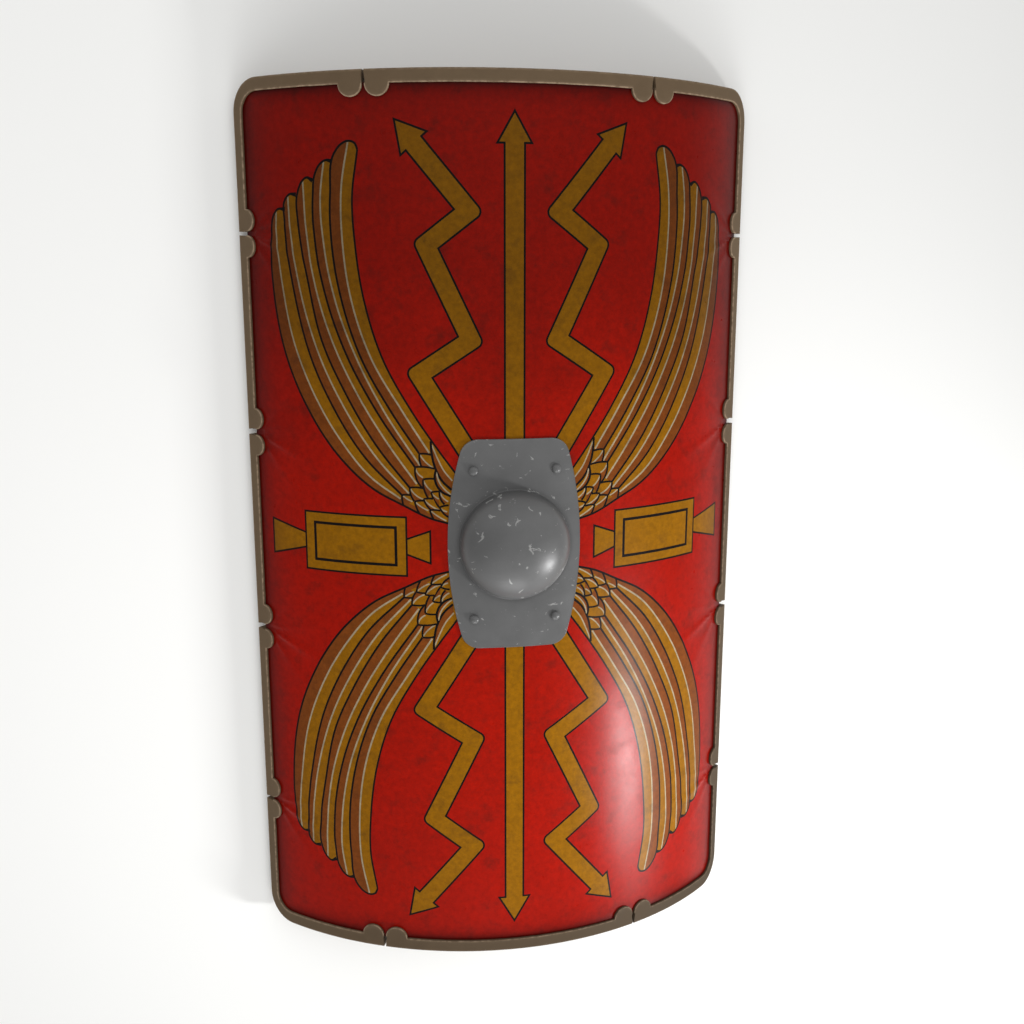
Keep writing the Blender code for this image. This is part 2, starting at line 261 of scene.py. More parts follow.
def mesh_value(tree, name):
    """A value that the mesh carries."""
    return node(tree, "Attribute", attribute_name=name, attribute_type="GEOMETRY")


def roughened(tree, shader, height, strength, depth):
    """Fine relief on the shader from a pattern, at most this many metres deep."""
    bump = node(tree, "Bump", {"Height": height, "Strength": strength, "Distance": depth}).outputs[0]
    tree.links.new(bump, shader.inputs["Normal"])


# %% [markdown]
# ## The camera
#
# The photo shows the shield upright, a little from its upper left. The shield here lies on its
# back, so the same view is had by looking down on it. The camera's place, aim and lens come from
# matching the corners of the binding, the boss and the painted lines.

# %% Camera
CAMERA_PLACE = Vector((-0.2136, 0.3243, 1.4306))
CAMERA_AIM = Vector((-0.0038, 0.0395, 0.1384))
LENS = 40.232
SENSOR = 36.0

backwards = (CAMERA_PLACE - CAMERA_AIM).normalized()
rightwards = Vector((0, 1, 0)).cross(backwards).normalized()
upwards = backwards.cross(rightwards)
camera_data = bpy.data.cameras.new("camera")
camera_data.lens = LENS
camera_data.sensor_width = SENSOR
camera = bpy.data.objects.new("camera", camera_data)
camera.matrix_world = Matrix((
    (rightwards.x, upwards.x, backwards.x, CAMERA_PLACE.x),
    (rightwards.y, upwards.y, backwards.y, CAMERA_PLACE.y),
    (rightwards.z, upwards.z, backwards.z, CAMERA_PLACE.z),
    (0, 0, 0, 1),
))
bpy.context.scene.collection.objects.link(camera)
bpy.context.scene.camera = camera
bpy.context.scene.view_settings.view_transform = "Standard"

# %% [markdown]
# ## Floor and light
#
# A plain pale floor, a broad white sky for the soft fill, and one soft box low on the right. The
# soft box draws the long highlight on the paint and the bright spot on the boss.

# %% Floor
FLOOR_REACH = 6.0

floor_material, floor_tree, floor_shader, _ = new_material("painted studio floor, matt")
floor_shader.inputs["Base Color"].default_value = colour("f2f2f0")
floor_shader.inputs["Roughness"].default_value = 0.9
floor_shader.inputs["Specular IOR Level"].default_value = 0.1
floor_points = np.array([(-1, -1, 0), (1, -1, 0), (1, 1, 0), (-1, 1, 0)]) * FLOOR_REACH
floor = make_piece("studio_floor", floor_points, [np.array([[0, 1, 2, 3]])], floor_material)

# %% [markdown]
# The soft box could be placed by trial. It is worked out instead: at the highlight the view and the
# light lean equally to both sides of the face's own direction. The second light only lifts the
# shadows from the lower end.

# %% Soft boxes
HIGHLIGHT = (152.0, -290.0)     # where the soft box shines back from the paint: s and v
BOX_DISTANCE = 1.6
BOX_SIZE = (0.20, 0.28)
BOX_POWER = 3.9
FILL_PLACE = Vector((0.1, -2.1, 1.1))
FILL_AIM = Vector((0, 0, 0.1))
FILL_SIZE = (1.2, 0.7)
FILL_POWER = 1.8
GRID_SPREAD = math.radians(70)  # a honeycomb in front keeps the light off the floor

shine = Vector(bend(*HIGHLIGHT, 0.0))
facing = Vector((math.sin(HIGHLIGHT[0] / FACE_RADIUS), 0, math.cos(HIGHLIGHT[0] / FACE_RADIUS)))
to_camera = (CAMERA_PLACE - shine).normalized()
to_box = 2 * to_camera.dot(facing) * facing - to_camera


def soft_light(name, place, aim, size, power):
    """A rectangular soft box at a place, turned to its aim."""
    data = bpy.data.lights.new(name, "AREA")
    data.shape = "RECTANGLE"
    data.size, data.size_y = size
    data.energy = power
    data.spread = GRID_SPREAD
    light = bpy.data.objects.new(name, data)
    light.location = place
    light.rotation_euler = (place - aim).to_track_quat("Z", "Y").to_euler()
    bpy.context.scene.collection.objects.link(light)
    print(name, "at", [round(c, 2) for c in place])


soft_light("soft_box", shine + to_box * BOX_DISTANCE, shine, BOX_SIZE, BOX_POWER)
soft_light("fill_light", FILL_PLACE, FILL_AIM, FILL_SIZE, FILL_POWER)

# %% [markdown]
# A white sky lights the shield from all round. It is brightest overhead and a little towards the
# lower end. Half-gloss paint mirrors one band of it straight at the camera, and a fully bright band
# would wash out the red, so the sky is dimmer there.

# %% Sky
SKY_STRENGTH = 1.05
BRIGHTEST = (0.05, -0.4, 0.92)
OVERHEAD_LIGHT = (0.36, 1.12)  # away from the brightest place and at it
BAND_MIDDLE = 0.17             # the band lies where a direction's y is minus this
BAND_REACH = (0.3, 0.65)       # it begins to brighten at the first and is over at the second
BAND_LIGHT = (0.42, 1.5)       # inside the band and outside it

world = bpy.data.worlds.new("studio")
bpy.context.scene.world = world
world.use_nodes = True
sky = world.node_tree
direction = node(sky, "TexCoord").outputs["Generated"]
towards = node(sky, "VectorMath", {0: direction, 1: BRIGHTEST}, operation="DOT_PRODUCT").outputs["Value"]
bright = mapped(sky, towards, (-0.6, 1.0), OVERHEAD_LIGHT)
upright = node(sky, "SeparateXYZ", {0: direction}).outputs["Y"]
outside = maths(sky, "ABSOLUTE", maths(sky, "ADD", upright, BAND_MIDDLE))
band = mapped(sky, outside, BAND_REACH, BAND_LIGHT, interpolation_type="SMOOTHSTEP")
strength = maths(sky, "MULTIPLY", maths(sky, "MULTIPLY", bright, band), SKY_STRENGTH)
background = sky.nodes["Background"]
background.inputs["Color"].default_value = colour("ffffff")
sky.links.new(strength, background.inputs["Strength"])

# %% [markdown]
# ## Drawing tools for the paint
#
# The painter drew black outlines and filled them with ochre, brown and pale lines. Lines about two
# millimetres wide would need a very fine regular grid, so the cover is cut along the drawing
# instead: every shape is a flat outline, the sheet's triangles follow it, and the paint's edge stays
# crisp from any distance. These functions make the outlines, in millimetres from the middle.

# %% Lines, bands and strokes
MITRE_LIMIT = 0.35            # keeps the mitre of a very sharp corner short


def unit(vectors):
    """Vectors of the same directions with a length of one."""
    return vectors / np.maximum(np.linalg.norm(vectors, axis=-1, keepdims=True), 1e-9)


def flowing(points, step=3.5):
    """A smooth line through given points, about one point every step.

    Each stretch is the cubic that leaves and arrives along the mean of the slopes on both sides of a
    point, where the nearer neighbour counts more.
    """
    p = np.asarray(points, float)
    gaps = np.linalg.norm(np.diff(p, axis=0), axis=1)[:, None]
    slopes = np.diff(p, axis=0) / gaps
    inner = (slopes[:-1] * gaps[1:] + slopes[1:] * gaps[:-1]) / (gaps[1:] + gaps[:-1])
    tangents = np.vstack([slopes[:1], inner, slopes[-1:]])
    places = np.concatenate([[0], np.cumsum(gaps)])
    along = np.linspace(0, places[-1], int(places[-1] / step) + 2)
    k = np.clip(np.searchsorted(places, along, side="right") - 1, 0, len(gaps) - 1)
    h = gaps[k]
    x = (along[:, None] - places[k][:, None]) / h
    start = (1 + 2 * x) * (1 - x) ** 2 * p[k] + x * (1 - x) ** 2 * h * tangents[k]
    return start + x ** 2 * (3 - 2 * x) * p[k + 1] + x ** 2 * (x - 1) * h * tangents[k + 1]


def bowed(start, end, bow, steps=8):
    """A line between two points that bulges to its left by a share of its length, as a parabola."""
    start, end = np.asarray(start, float), np.asarray(end, float)
    t = np.linspace(0, 1, steps + 1)[:, None]
    run = end - start
    return start + t * run + 4 * t * (1 - t) * bow * np.array([-run[1], run[0]])


def beside(line, offset):
    """The line moved to its left by an offset, with mitred corners."""
    run = unit(np.diff(line, axis=0))
    left = np.stack([-run[:, 1], run[:, 0]], axis=-1)
    before, after = np.vstack([left[:1], left]), np.vstack([left, left[-1:]])
    spread = np.maximum(1 + (before * after).sum(axis=1, keepdims=True), MITRE_LIMIT)
    return line + (before + after) / spread * offset


def stroke(line, width):
    """The outline of a brush line of this width, which may be one value or one a point."""
    width = np.reshape(width, (-1, 1))
    return np.vstack([beside(line, -width / 2), beside(line, width / 2)[::-1]])


def anticlockwise(outline):
    """The outline, turned over if it runs clockwise."""
    s, v = outline.T
    area = (s * np.roll(v, -1) - np.roll(s, -1) * v).sum()
    return outline if area > 0 else outline[::-1]


def grown(outline, by):
    """The outline moved outwards all round, or inwards if by is less than zero."""
    line = anticlockwise(outline)
    ring = np.vstack([line[-1:], line, line[:1]])
    return beside(ring, -by)[1:-1]


def filleted(line, radii):
    """The line with each inner corner rounded to its radius, from the tangent length of its angle."""
    line = np.asarray(line, float)
    parts = [line[:1]]
    for before, corner, after, radius in zip(line, line[1:], line[2:], radii):
        if radius == 0:
            parts.append(corner[None])
            continue
        back, on = unit(before - corner), unit(after - corner)
        half = math.acos(np.clip(back @ on, -1, 1)) / 2
        reach = radius / math.tan(half)
        centre = corner + unit(back + on) * radius / math.sin(half)
        first, last = corner + back * reach - centre, corner + on * reach - centre
        share = np.linspace(0, 1, 7)[:, None]
        angle = math.pi - 2 * half
        arc = (np.sin((1 - share) * angle) * first + np.sin(share * angle) * last) / math.sin(angle)
        parts.append(centre + arc)
    parts.append(line[-1:])
    return np.vstack(parts)


def resampled(outline, step):
    """The closed outline with each edge cut into steps of about this length."""
    ends = np.roll(outline, -1, axis=0)
    counts = np.maximum(1, np.round(np.linalg.norm(ends - outline, axis=1) / step)).astype(int)
    edge = np.repeat(np.arange(len(outline)), counts)
    share = (np.arange(counts.sum()) - (np.cumsum(counts) - counts)[edge]) / counts[edge]
    return outline[edge] + (ends - outline)[edge] * share[:, None]


# %% [markdown]
# ## The painted figures
#
# The face is the same in its four quarters, so each figure is drawn once for the upper right and
# then turned over. From the middle outwards it has a straight arrow, a lightning bolt with an arrow
# head, a winged bolt of five long feathers over rows of small ones, and a tablet with a dovetail at
# each end. The order of the list is the order of painting: what comes later covers what is there.

# %% Canvas
DRAWING_SCALE = 1.0017        # the drawing was measured on a shield 1.0582 m tall
DRAWING_SHIFT = (-0.6, -2.4)  # the painter's middle, from the shield's middle
OUTLINE = 2.3                 # width of the black lines
FRAME_LINE = 3.4              # the tablet's inner frame is drawn with a fuller brush
SHAFT_LINE = 2.1              # width of the pale feather shafts

QUARTERS = ((1, 1), (-1, 1), (1, -1), (-1, -1))
UPPER_LOWER = ((1, 1), (1, -1))
LEFT_RIGHT = ((1, 1), (-1, 1))
RED, OCHRE, BROWN, PALE, BLACK = range(5)
canvas = []


def paint(outline, colour_number, copies=QUARTERS):
    """Add a filled outline to the canvas, once for each way it is turned over.

    A point that repeats the one before it is left out, as an outline may not touch itself.
    """
    outline = np.asarray(outline, float)
    outline = outline[np.abs(outline - np.roll(outline, 1, axis=0)).max(axis=1) > 0.01]
    for across, upright in copies:
        turned = outline * (across, upright) * DRAWING_SCALE + DRAWING_SHIFT
        canvas.append((anticlockwise(turned), colour_number))


def figure(outline, copies=QUARTERS, line=OUTLINE):
    """A shape filled with ochre inside a black line whose outer edge is the outline."""
    paint(outline, BLACK, copies)
    paint(grown(outline, -line), OCHRE, copies)


# %% [markdown]
# The arrow and the lightning bolts are bands of one width that end in a head. Drawing the two edges
# by hand would let the width drift, so only the middle line is set and both edges are moved off it.
# The brush rounded the bolt's outer corners and left the inner ones sharp.

# %% Arrows and bolts
ARROW_SHAFT = 25.0            # width of both shafts, with their black lines
HEAD_LENGTH = 37.0
HEAD_WIDTH = 42.6
BOLT_ROUNDING = 9.0           # of the bolt's outer corners
UNDER_BOSS = 85.0             # the arrow's shaft starts here, under the boss plate
ARROW_TIP = 490.4
BOLT = ((52, 110), (109.4, 202.1), (49.7, 241.0), (99.5, 345.4), (51.0, 382.2), (134.0, 481.3))


def arrow(path, rounding):
    """The outline of a band along a path that ends in an arrow head, outer corners rounded."""
    path = np.asarray(path, float)
    aim = unit(path[-1] - path[-2])
    neck = path[-1] - aim * HEAD_LENGTH
    left = np.array([-aim[1], aim[0]])
    spine = np.vstack([path[:-1], neck])
    run = np.diff(spine, axis=0)
    turns = np.sign(run[:-1, 0] * run[1:, 1] - run[:-1, 1] * run[1:, 0])
    right_side = filleted(beside(spine, -ARROW_SHAFT / 2), np.where(turns > 0, rounding, 0))
    left_side = filleted(beside(spine, ARROW_SHAFT / 2), np.where(turns < 0, rounding, 0))
    head = [neck - left * HEAD_WIDTH / 2, path[-1], neck + left * HEAD_WIDTH / 2]
    return np.vstack([right_side, head, left_side[::-1]])


figure(arrow([(0, UNDER_BOSS), (0, ARROW_TIP)], 0), UPPER_LOWER)
figure(arrow(BOLT, BOLT_ROUNDING))

# %% [markdown]
# The tablet is the name board of Roman carvers: a framed oblong with a dovetail at each end. All its
# edges are straight, so four corners a piece are enough.

# %% Tablet with dovetails
TABLET = (126.4, 259.6, 36.7)     # inner end, outer end and half height
TABLET_FRAME = (138.9, 246.6, 24.4)
DOVETAILS = (((256.0, 9.6), (309.9, 23.2)), ((129.8, 9.6), (98.0, 21.2)))


def upright_box(low, high, half):
    """The corners of a rectangle between two places round the curve."""
    return np.array([(low, -half), (high, -half), (high, half), (low, half)], float)


for (narrow_s, narrow_v), (wide_s, wide_v) in DOVETAILS:
    tail = [(narrow_s, -narrow_v), (wide_s, -wide_v), (wide_s, wide_v), (narrow_s, narrow_v)]
    figure(np.array(tail, float), LEFT_RIGHT)
figure(upright_box(*TABLET), LEFT_RIGHT)
paint(upright_box(*TABLET_FRAME), BLACK, LEFT_RIGHT)
paint(grown(upright_box(*TABLET_FRAME), -FRAME_LINE), OCHRE, LEFT_RIGHT)

# %% [markdown]
# ## The wing
#
# A wing is drawn feather by feather. Each long feather has an outer line that climbs from its root,
# rounds the tip and ends on the feather before it, and a pale shaft with ochre on its inner side and
# brown on its outer side. Only the few points that set each line's sweep are given.

# %% Long feathers
WING_INNER = ((66, 85), (85.5, 111.5), (118.5, 160), (151.7, 220), (170.8, 280), (180.9, 346),
              (182.8, 398), (175, 448.5))
FEATHER_LINES = (
    ((110.7, 111.3), (143.3, 160), (177.5, 220), (198.3, 280), (209.5, 345), (209.6, 402),
     (202.2, 446.5), (195, 454.2), (185, 457.8), (178, 455.3), (175, 448.5)),
    ((115.4, 94.6), (160.8, 160), (194, 220), (217, 280), (230.5, 345), (231.8, 400),
     (227.6, 425), (222, 433.5), (213.6, 438.2), (206, 436.5)),
    ((121.8, 70), (162, 120), (198.7, 180), (227, 240), (242.2, 305), (252.4, 368),
     (252.6, 402), (246, 415.5), (239.3, 420.3), (231.5, 416.5)),
    ((131.4, 61.4), (176.4, 105.5), (213.3, 160), (242.3, 220), (261.5, 292), (271.4, 370),
     (269.8, 396.5), (263.2, 402.6), (254.2, 401.8)),
    ((74, 28.2), (98, 34.6), (131, 50), (165.5, 67.4), (205.5, 101), (249.2, 160), (277, 220),
     (291.6, 292), (291.2, 358), (287.2, 380), (280.5, 386.6), (270.5, 386)),
)
SHAFT_LINES = (
    ((98.9, 112.3), (129.5, 160), (165.3, 220), (186.2, 280), (196.3, 350), (195.2, 412), (186.2, 456.3)),
    ((110.1, 97.5), (151.5, 160), (183.3, 220), (206.3, 280), (219.6, 345), (222, 402), (216.6, 436)),
    ((114.1, 75.5), (147, 121), (184.3, 180), (213.6, 240), (232.7, 300), (242.6, 368), (244.4, 417)),
    ((123.7, 64.2), (162.2, 105.8), (199, 160), (229.8, 220), (254, 298), (265, 378), (265.6, 400)),
    ((133.7, 57.5), (169, 81.6), (205.5, 123), (241.2, 180), (266, 240), (278.8, 305), (284.2, 360),
     (283.4, 384)),
)
ROOT_POINTS = 16              # the wing's root reaches this many points along its inner edge


def up_to(line, point):
    """The line as far as its place nearest to a point."""
    return line[:np.argmin(np.linalg.norm(line - point, axis=1)) + 1]


inner_edge = flowing(WING_INNER)
lines = [flowing(points) for points in FEATHER_LINES]
shafts = [flowing(points) for points in SHAFT_LINES]
for line, inside in zip(lines, [inner_edge] + lines):
    paint(np.vstack([line, up_to(inside, line[-1])[::-1]]), OCHRE)
roots = [line[0] for line in lines[:-1]]
paint(np.vstack([inner_edge[:ROOT_POINTS], roots, up_to(lines[-1], roots[-1])[::-1]]), OCHRE)
for line, shaft in zip(lines, shafts):
    paint(np.vstack([shaft, up_to(line, shaft[-1])[::-1]]), BROWN)
for shaft in shafts:
    paint(stroke(shaft, SHAFT_LINE), PALE)

# %% [markdown]
# The wing's root is covered by two slender feathers and by small coverts, each laid over the ones
# beyond it as roof tiles are. A covert is set by four points: the inner end of its tip's edge, the
# tip's corner, and the feet of its outer side and of its shaft. The lines between them are bowed.

# %% Small feathers
SLENDER = (
    (((97, 126), (96.4, 114), (92, 94), (84, 79), (73.5, 69)),
     ((95.8, 121.5), (90, 107.3), (82, 91.3), (72.5, 79.7))),
    (((91.3, 93), (93, 84), (91, 75), (84, 66), (74.5, 61.5)),
     ((91, 89.5), (88, 78.7), (80, 68), (74.5, 63.5))),
)
COVERTS = (   # inner end, tip, foot of the side, foot of the shaft, bow of the side
    ((96.5, 110), (110.3, 111), (108.2, 96), (95.2, 95.2), 0.07),
    ((93, 93.8), (115.6, 95.4), (107, 70.4), (106.6, 83.2), 0.13),
    ((120.5, 61.8), (131.8, 62), (130.2, 49.2), (119.6, 54.6), 0.05),
    ((106.5, 70.5), (122.4, 71), (117.2, 54.8), (107, 57.6), 0.10),
    ((93, 81.8), (106.6, 81), (101.2, 59.2), (96.6, 67.2), 0.08),
    ((105.8, 55.8), (116.8, 54.7), (111.2, 40), (101, 44.2), 0.05),
    ((87.6, 67), (97.5, 65.8), (87.8, 48), (88.6, 58.2), 0.06),
    ((95.2, 58.3), (106.4, 57.8), (98, 45), (88.6, 45.2), 0.07),
    ((85.5, 68.5), (87.4, 68.4), (82, 51.8), (77.6, 55.2), 0.13),
    ((77, 50.8), (87.6, 48.3), (76, 36), (79, 43), 0.10),
    ((86.8, 44.2), (99.2, 44.8), (94.4, 33), (80, 32.3), 0.04),
)
FINE_LINE = 2.3
SLENDER_LINE = FINE_LINE * 1.2
THIN_SHAFT = SHAFT_LINE * 0.8
FEATHER_LINE = 2.5
TIP_BOW = 0.05
INK = 2.6                     # the ink fills the notch between two tips: this much wider there
INK_REACH = 8.0               # over the last part of the line

for inner, tip, foot, shaft_foot, bow in COVERTS:
    side = bowed(tip, foot, bow)
    shaft = bowed(tip, shaft_foot, bow)
    paint(np.vstack([[inner], side, [shaft_foot]]), OCHRE)
    paint(np.vstack([shaft, side[:0:-1]]), BROWN)
    paint(stroke(shaft, THIN_SHAFT), PALE)
    paint(stroke(bowed(inner, tip, TIP_BOW), FINE_LINE), BLACK)
    paint(stroke(side, FINE_LINE), BLACK)
for side, shaft in SLENDER:
    side, shaft = flowing(side, 2.5), flowing(shaft, 2.5)
    paint(np.vstack([shaft, side[::-1]]), BROWN)
    paint(stroke(shaft, THIN_SHAFT), PALE)
    paint(stroke(side, SLENDER_LINE), BLACK)
for number, line in enumerate(lines):
    to_end = np.linalg.norm(line - line[-1], axis=1)
    ink = INK * np.clip(1 - to_end / INK_REACH, 0, 1) * (number > 0)
    paint(stroke(line, FEATHER_LINE + ink), BLACK)
paint(stroke(inner_edge, OUTLINE), BLACK)
print(len(canvas), "painted shapes")

# %% [markdown]
# ## The cover's sheet
#
# The hide cover is one sheet with round corners and the hand hole. Blender's triangulation takes
# the outlines as lines that the triangles may not cross, and says which outlines each triangle lies
# in: the last one painted gives its colour. Loose points on an even lattice fill the plain areas, so
# that the bend and the folds have points to follow.

# %% Triangulate a sheet
SHEET_CORNER = 25.0
HAND_HOLE = 59.5
HOLE_POINTS = 108
EDGE_STEP = 3.5
WHOLE_HULL = 0                # the kind of triangulation that keeps every triangle
SAME_POINT = 1e-3
SLOPE_STEP = 0.5
SHEET_S = INNER_S + GROOVE_DEPTH
SHEET_V = INNER_V + GROOVE_DEPTH


def rounded_box(half_s, half_v, radius, steps=10):
    """The outline of a rectangle about the middle with round corners."""
    parts = []
    for quarter, (across, upright) in enumerate(((1, 1), (-1, 1), (-1, -1), (1, -1))):
        a = np.radians(np.linspace(0, 90, steps + 1) + 90 * quarter)
        centre = np.array([across * (half_s - radius), upright * (half_v - radius)])
        parts.append(centre + radius * np.stack([np.cos(a), np.sin(a)], axis=-1))
    return np.vstack(parts)


def ring(radius, count):
    """Points evenly round a circle about the middle."""
    a = np.linspace(0, 2 * math.pi, count, endpoint=False)
    return radius * np.stack([np.cos(a), np.sin(a)], axis=-1)


def lattice(spacing, taken):
    """Even points over the sheet, less those next to an outline's own points, the edge or the hole."""
    across = np.arange(-round(SHEET_S / spacing), round(SHEET_S / spacing) + 1)
    upright = np.arange(-round(SHEET_V / spacing), round(SHEET_V / spacing) + 1)
    free = np.ones((len(across), len(upright)), bool)
    near = np.round(taken / spacing).astype(int) + (len(across) // 2, len(upright) // 2)
    near = near[(near >= 0).all(axis=1) & (near < free.shape).all(axis=1)]
    free[near[:, 0], near[:, 1]] = False
    a, b = np.nonzero(free)
    points = np.stack([across[a], upright[b]], axis=-1) * spacing
    margin = spacing / 2
    past_corner = np.maximum(np.abs(points) - (SHEET_S - SHEET_CORNER, SHEET_V - SHEET_CORNER), 0)
    inside = (np.linalg.norm(past_corner, axis=1) < SHEET_CORNER - margin)
    inside &= np.abs(points[:, 0]) < SHEET_S - margin
    inside &= np.abs(points[:, 1]) < SHEET_V - margin
    return points[inside & (np.linalg.norm(points, axis=1) > HAND_HOLE + margin)]


def cut_sheet(shapes, spacing, extra=np.empty((0, 2))):
    """Flat places, triangles and the last shape that each triangle lies in."""
    edge = resampled(rounded_box(SHEET_S, SHEET_V, SHEET_CORNER), EDGE_STEP)
    hole = ring(HAND_HOLE, HOLE_POINTS)
    outlines = [edge] + [resampled(shape, EDGE_STEP) for shape in shapes] + [hole]
    starts = np.cumsum([0] + [len(outline) for outline in outlines])
    taken = np.vstack(outlines + [extra])
    points = np.vstack([taken, lattice(spacing, taken)])
    faces = [list(range(a, b)) for a, b in zip(starts, starts[1:])]
    result = delaunay_2d_cdt([Vector(p) for p in points.tolist()], [], faces, WHOLE_HULL, SAME_POINT, True)
    places = np.array([tuple(p) for p in result[0]])
    table = np.array(result[2])
    owners = np.array([max(ids) if ids else 0 for ids in result[5]])
    kept = owners < len(outlines) - 1
    return places, table[kept], owners[kept]


def rim_of(table):
    """The directed edges that only one triangle has: the sheet's edge and the rim of its hole."""
    edges = np.vstack([table[:, [0, 1]], table[:, [1, 2]], table[:, [2, 0]]])
    keys = np.sort(edges, axis=1) @ np.array([table.max() + 1, 1])
    _, back, counts = np.unique(keys, return_inverse=True, return_counts=True)
    return edges[counts[back] == 1]


def closed_sheet(name, front, back, front_level, back_level, material):
    """A solid sheet from two flat triangulations with the same rims, joined by walls."""
    (front_places, front_table), (back_places, back_table) = front, back
    rim = rim_of(front_table)
    partners = np.zeros(len(front_places), int)
    rim_points = np.unique(rim)
    gaps = front_places[rim_points][:, None] - back_places[np.unique(rim_of(back_table))][None]
    nearest = np.abs(gaps).sum(axis=2).argmin(axis=1)
    partners[rim_points] = np.unique(rim_of(back_table))[nearest] + len(front_places)
    walls = np.stack([rim[:, 1], rim[:, 0], partners[rim[:, 0]], partners[rim[:, 1]]], axis=-1)
    points = np.vstack([bend(*front_places.T, front_level(*front_places.T)),
                        bend(*back_places.T, back_level(*back_places.T))])
    tables = [front_table, back_table[:, ::-1] + len(front_places), walls]
    return make_piece(name, points, tables, material, sharp_from=40)


def even_normals(piece, places, level, count):
    """Shade the first count triangles by the level's true slope, which thin ones would blur.

    The slope is the cross product of two short steps over the surface, round the curve and upwards.
    """
    h = SLOPE_STEP
    s, v = places.T
    across = bend(s + h, v, level(s + h, v)) - bend(s - h, v, level(s - h, v))
    upright = bend(s, v + h, level(s, v + h)) - bend(s, v - h, level(s, v - h))
    mesh = piece.data
    corners = np.empty(len(mesh.loops), int)
    mesh.loops.foreach_get("vertex_index", corners)
    normals = np.zeros((len(corners), 3))
    ours = slice(0, count * 3)
    normals[ours] = unit(np.cross(across, upright))[corners[ours]]
    mesh.normals_split_custom_set(normals.tolist())


# %% [markdown]
# ## Folds in the hide
#
# The wet hide was pulled over the edge and dried there, so it has low folds that fan out from each
# gap of the side binding, where nothing holds it down, and it is nowhere quite flat. The level of
# the painted face is a function of the flat place, and it sinks to nothing at the rim and at the
# boss, where the hide is pressed flat.

# %% Level of the painted face
SIDE_GAPS = (358.2, 123.6, -123.6, -358.2)
FOLD_REACH = 92.0
FOLD_HEIGHT = 1.3
FOLD_START = 14.0             # a fold rises over this distance from its gap
RIM_HELD = 8.0                # the hide is pressed down this far in from the binding
BOSS_HELD = (84.0, 130.0)     # and up to here round the boss
BOSS_FADE = 14.0
# the angle, share of the height and half width of each fold
FOLDS = ((-20, 1.0, 5.5), (8, 0.55, 6.0), (34, 0.35, 7.0), (-48, 0.4, 7.0))


def face_level(s, v):
    """Height of the painted face in mm over its plain curve.

    Each fold is a bell across its own direction from the gap. It rises over FOLD_START and fades as
    the distance over FOLD_REACH. Crossed sine waves add an unevenness of about a tenth of a mm, and
    0.15 mm is taken off, so that they only ever sink below the curve.
    """
    level = 0.10 * np.sin(s / 31 + 1.3 * np.sin(v / 83)) * np.sin(v / 47 + 0.7)
    level = level + 0.05 * np.sin(s / 13 + v / 29) - 0.15
    for gap in SIDE_GAPS:
        for side in (-1, 1):
            ahead = np.maximum(INNER_S - side * s, 0)
            aside = v - gap
            distance = np.hypot(ahead, aside)
            angle = np.degrees(np.arctan2(aside, ahead + 1e-6))
            fan = 0
            for lean, share, width in FOLDS:
                fan = fan + share * np.exp(-((angle - lean) / width) ** 2)
            rise = np.clip(distance / FOLD_START, 0, 1) ** 1.5
            level = level + FOLD_HEIGHT * fan * rise * np.exp(-(distance / FOLD_REACH) ** 1.5)
    from_rim = np.minimum(INNER_S - np.abs(s), INNER_V - np.abs(v))
    from_boss = np.maximum(np.abs(s) - BOSS_HELD[0], np.abs(v) - BOSS_HELD[1])
    held = np.clip(from_rim / RIM_HELD, 0, 1) * np.clip(from_boss / BOSS_FADE, 0, 1)
    return level * held


def flat_level(level):
    """A level that is the same everywhere."""
    return lambda s, v: np.full_like(s, level)
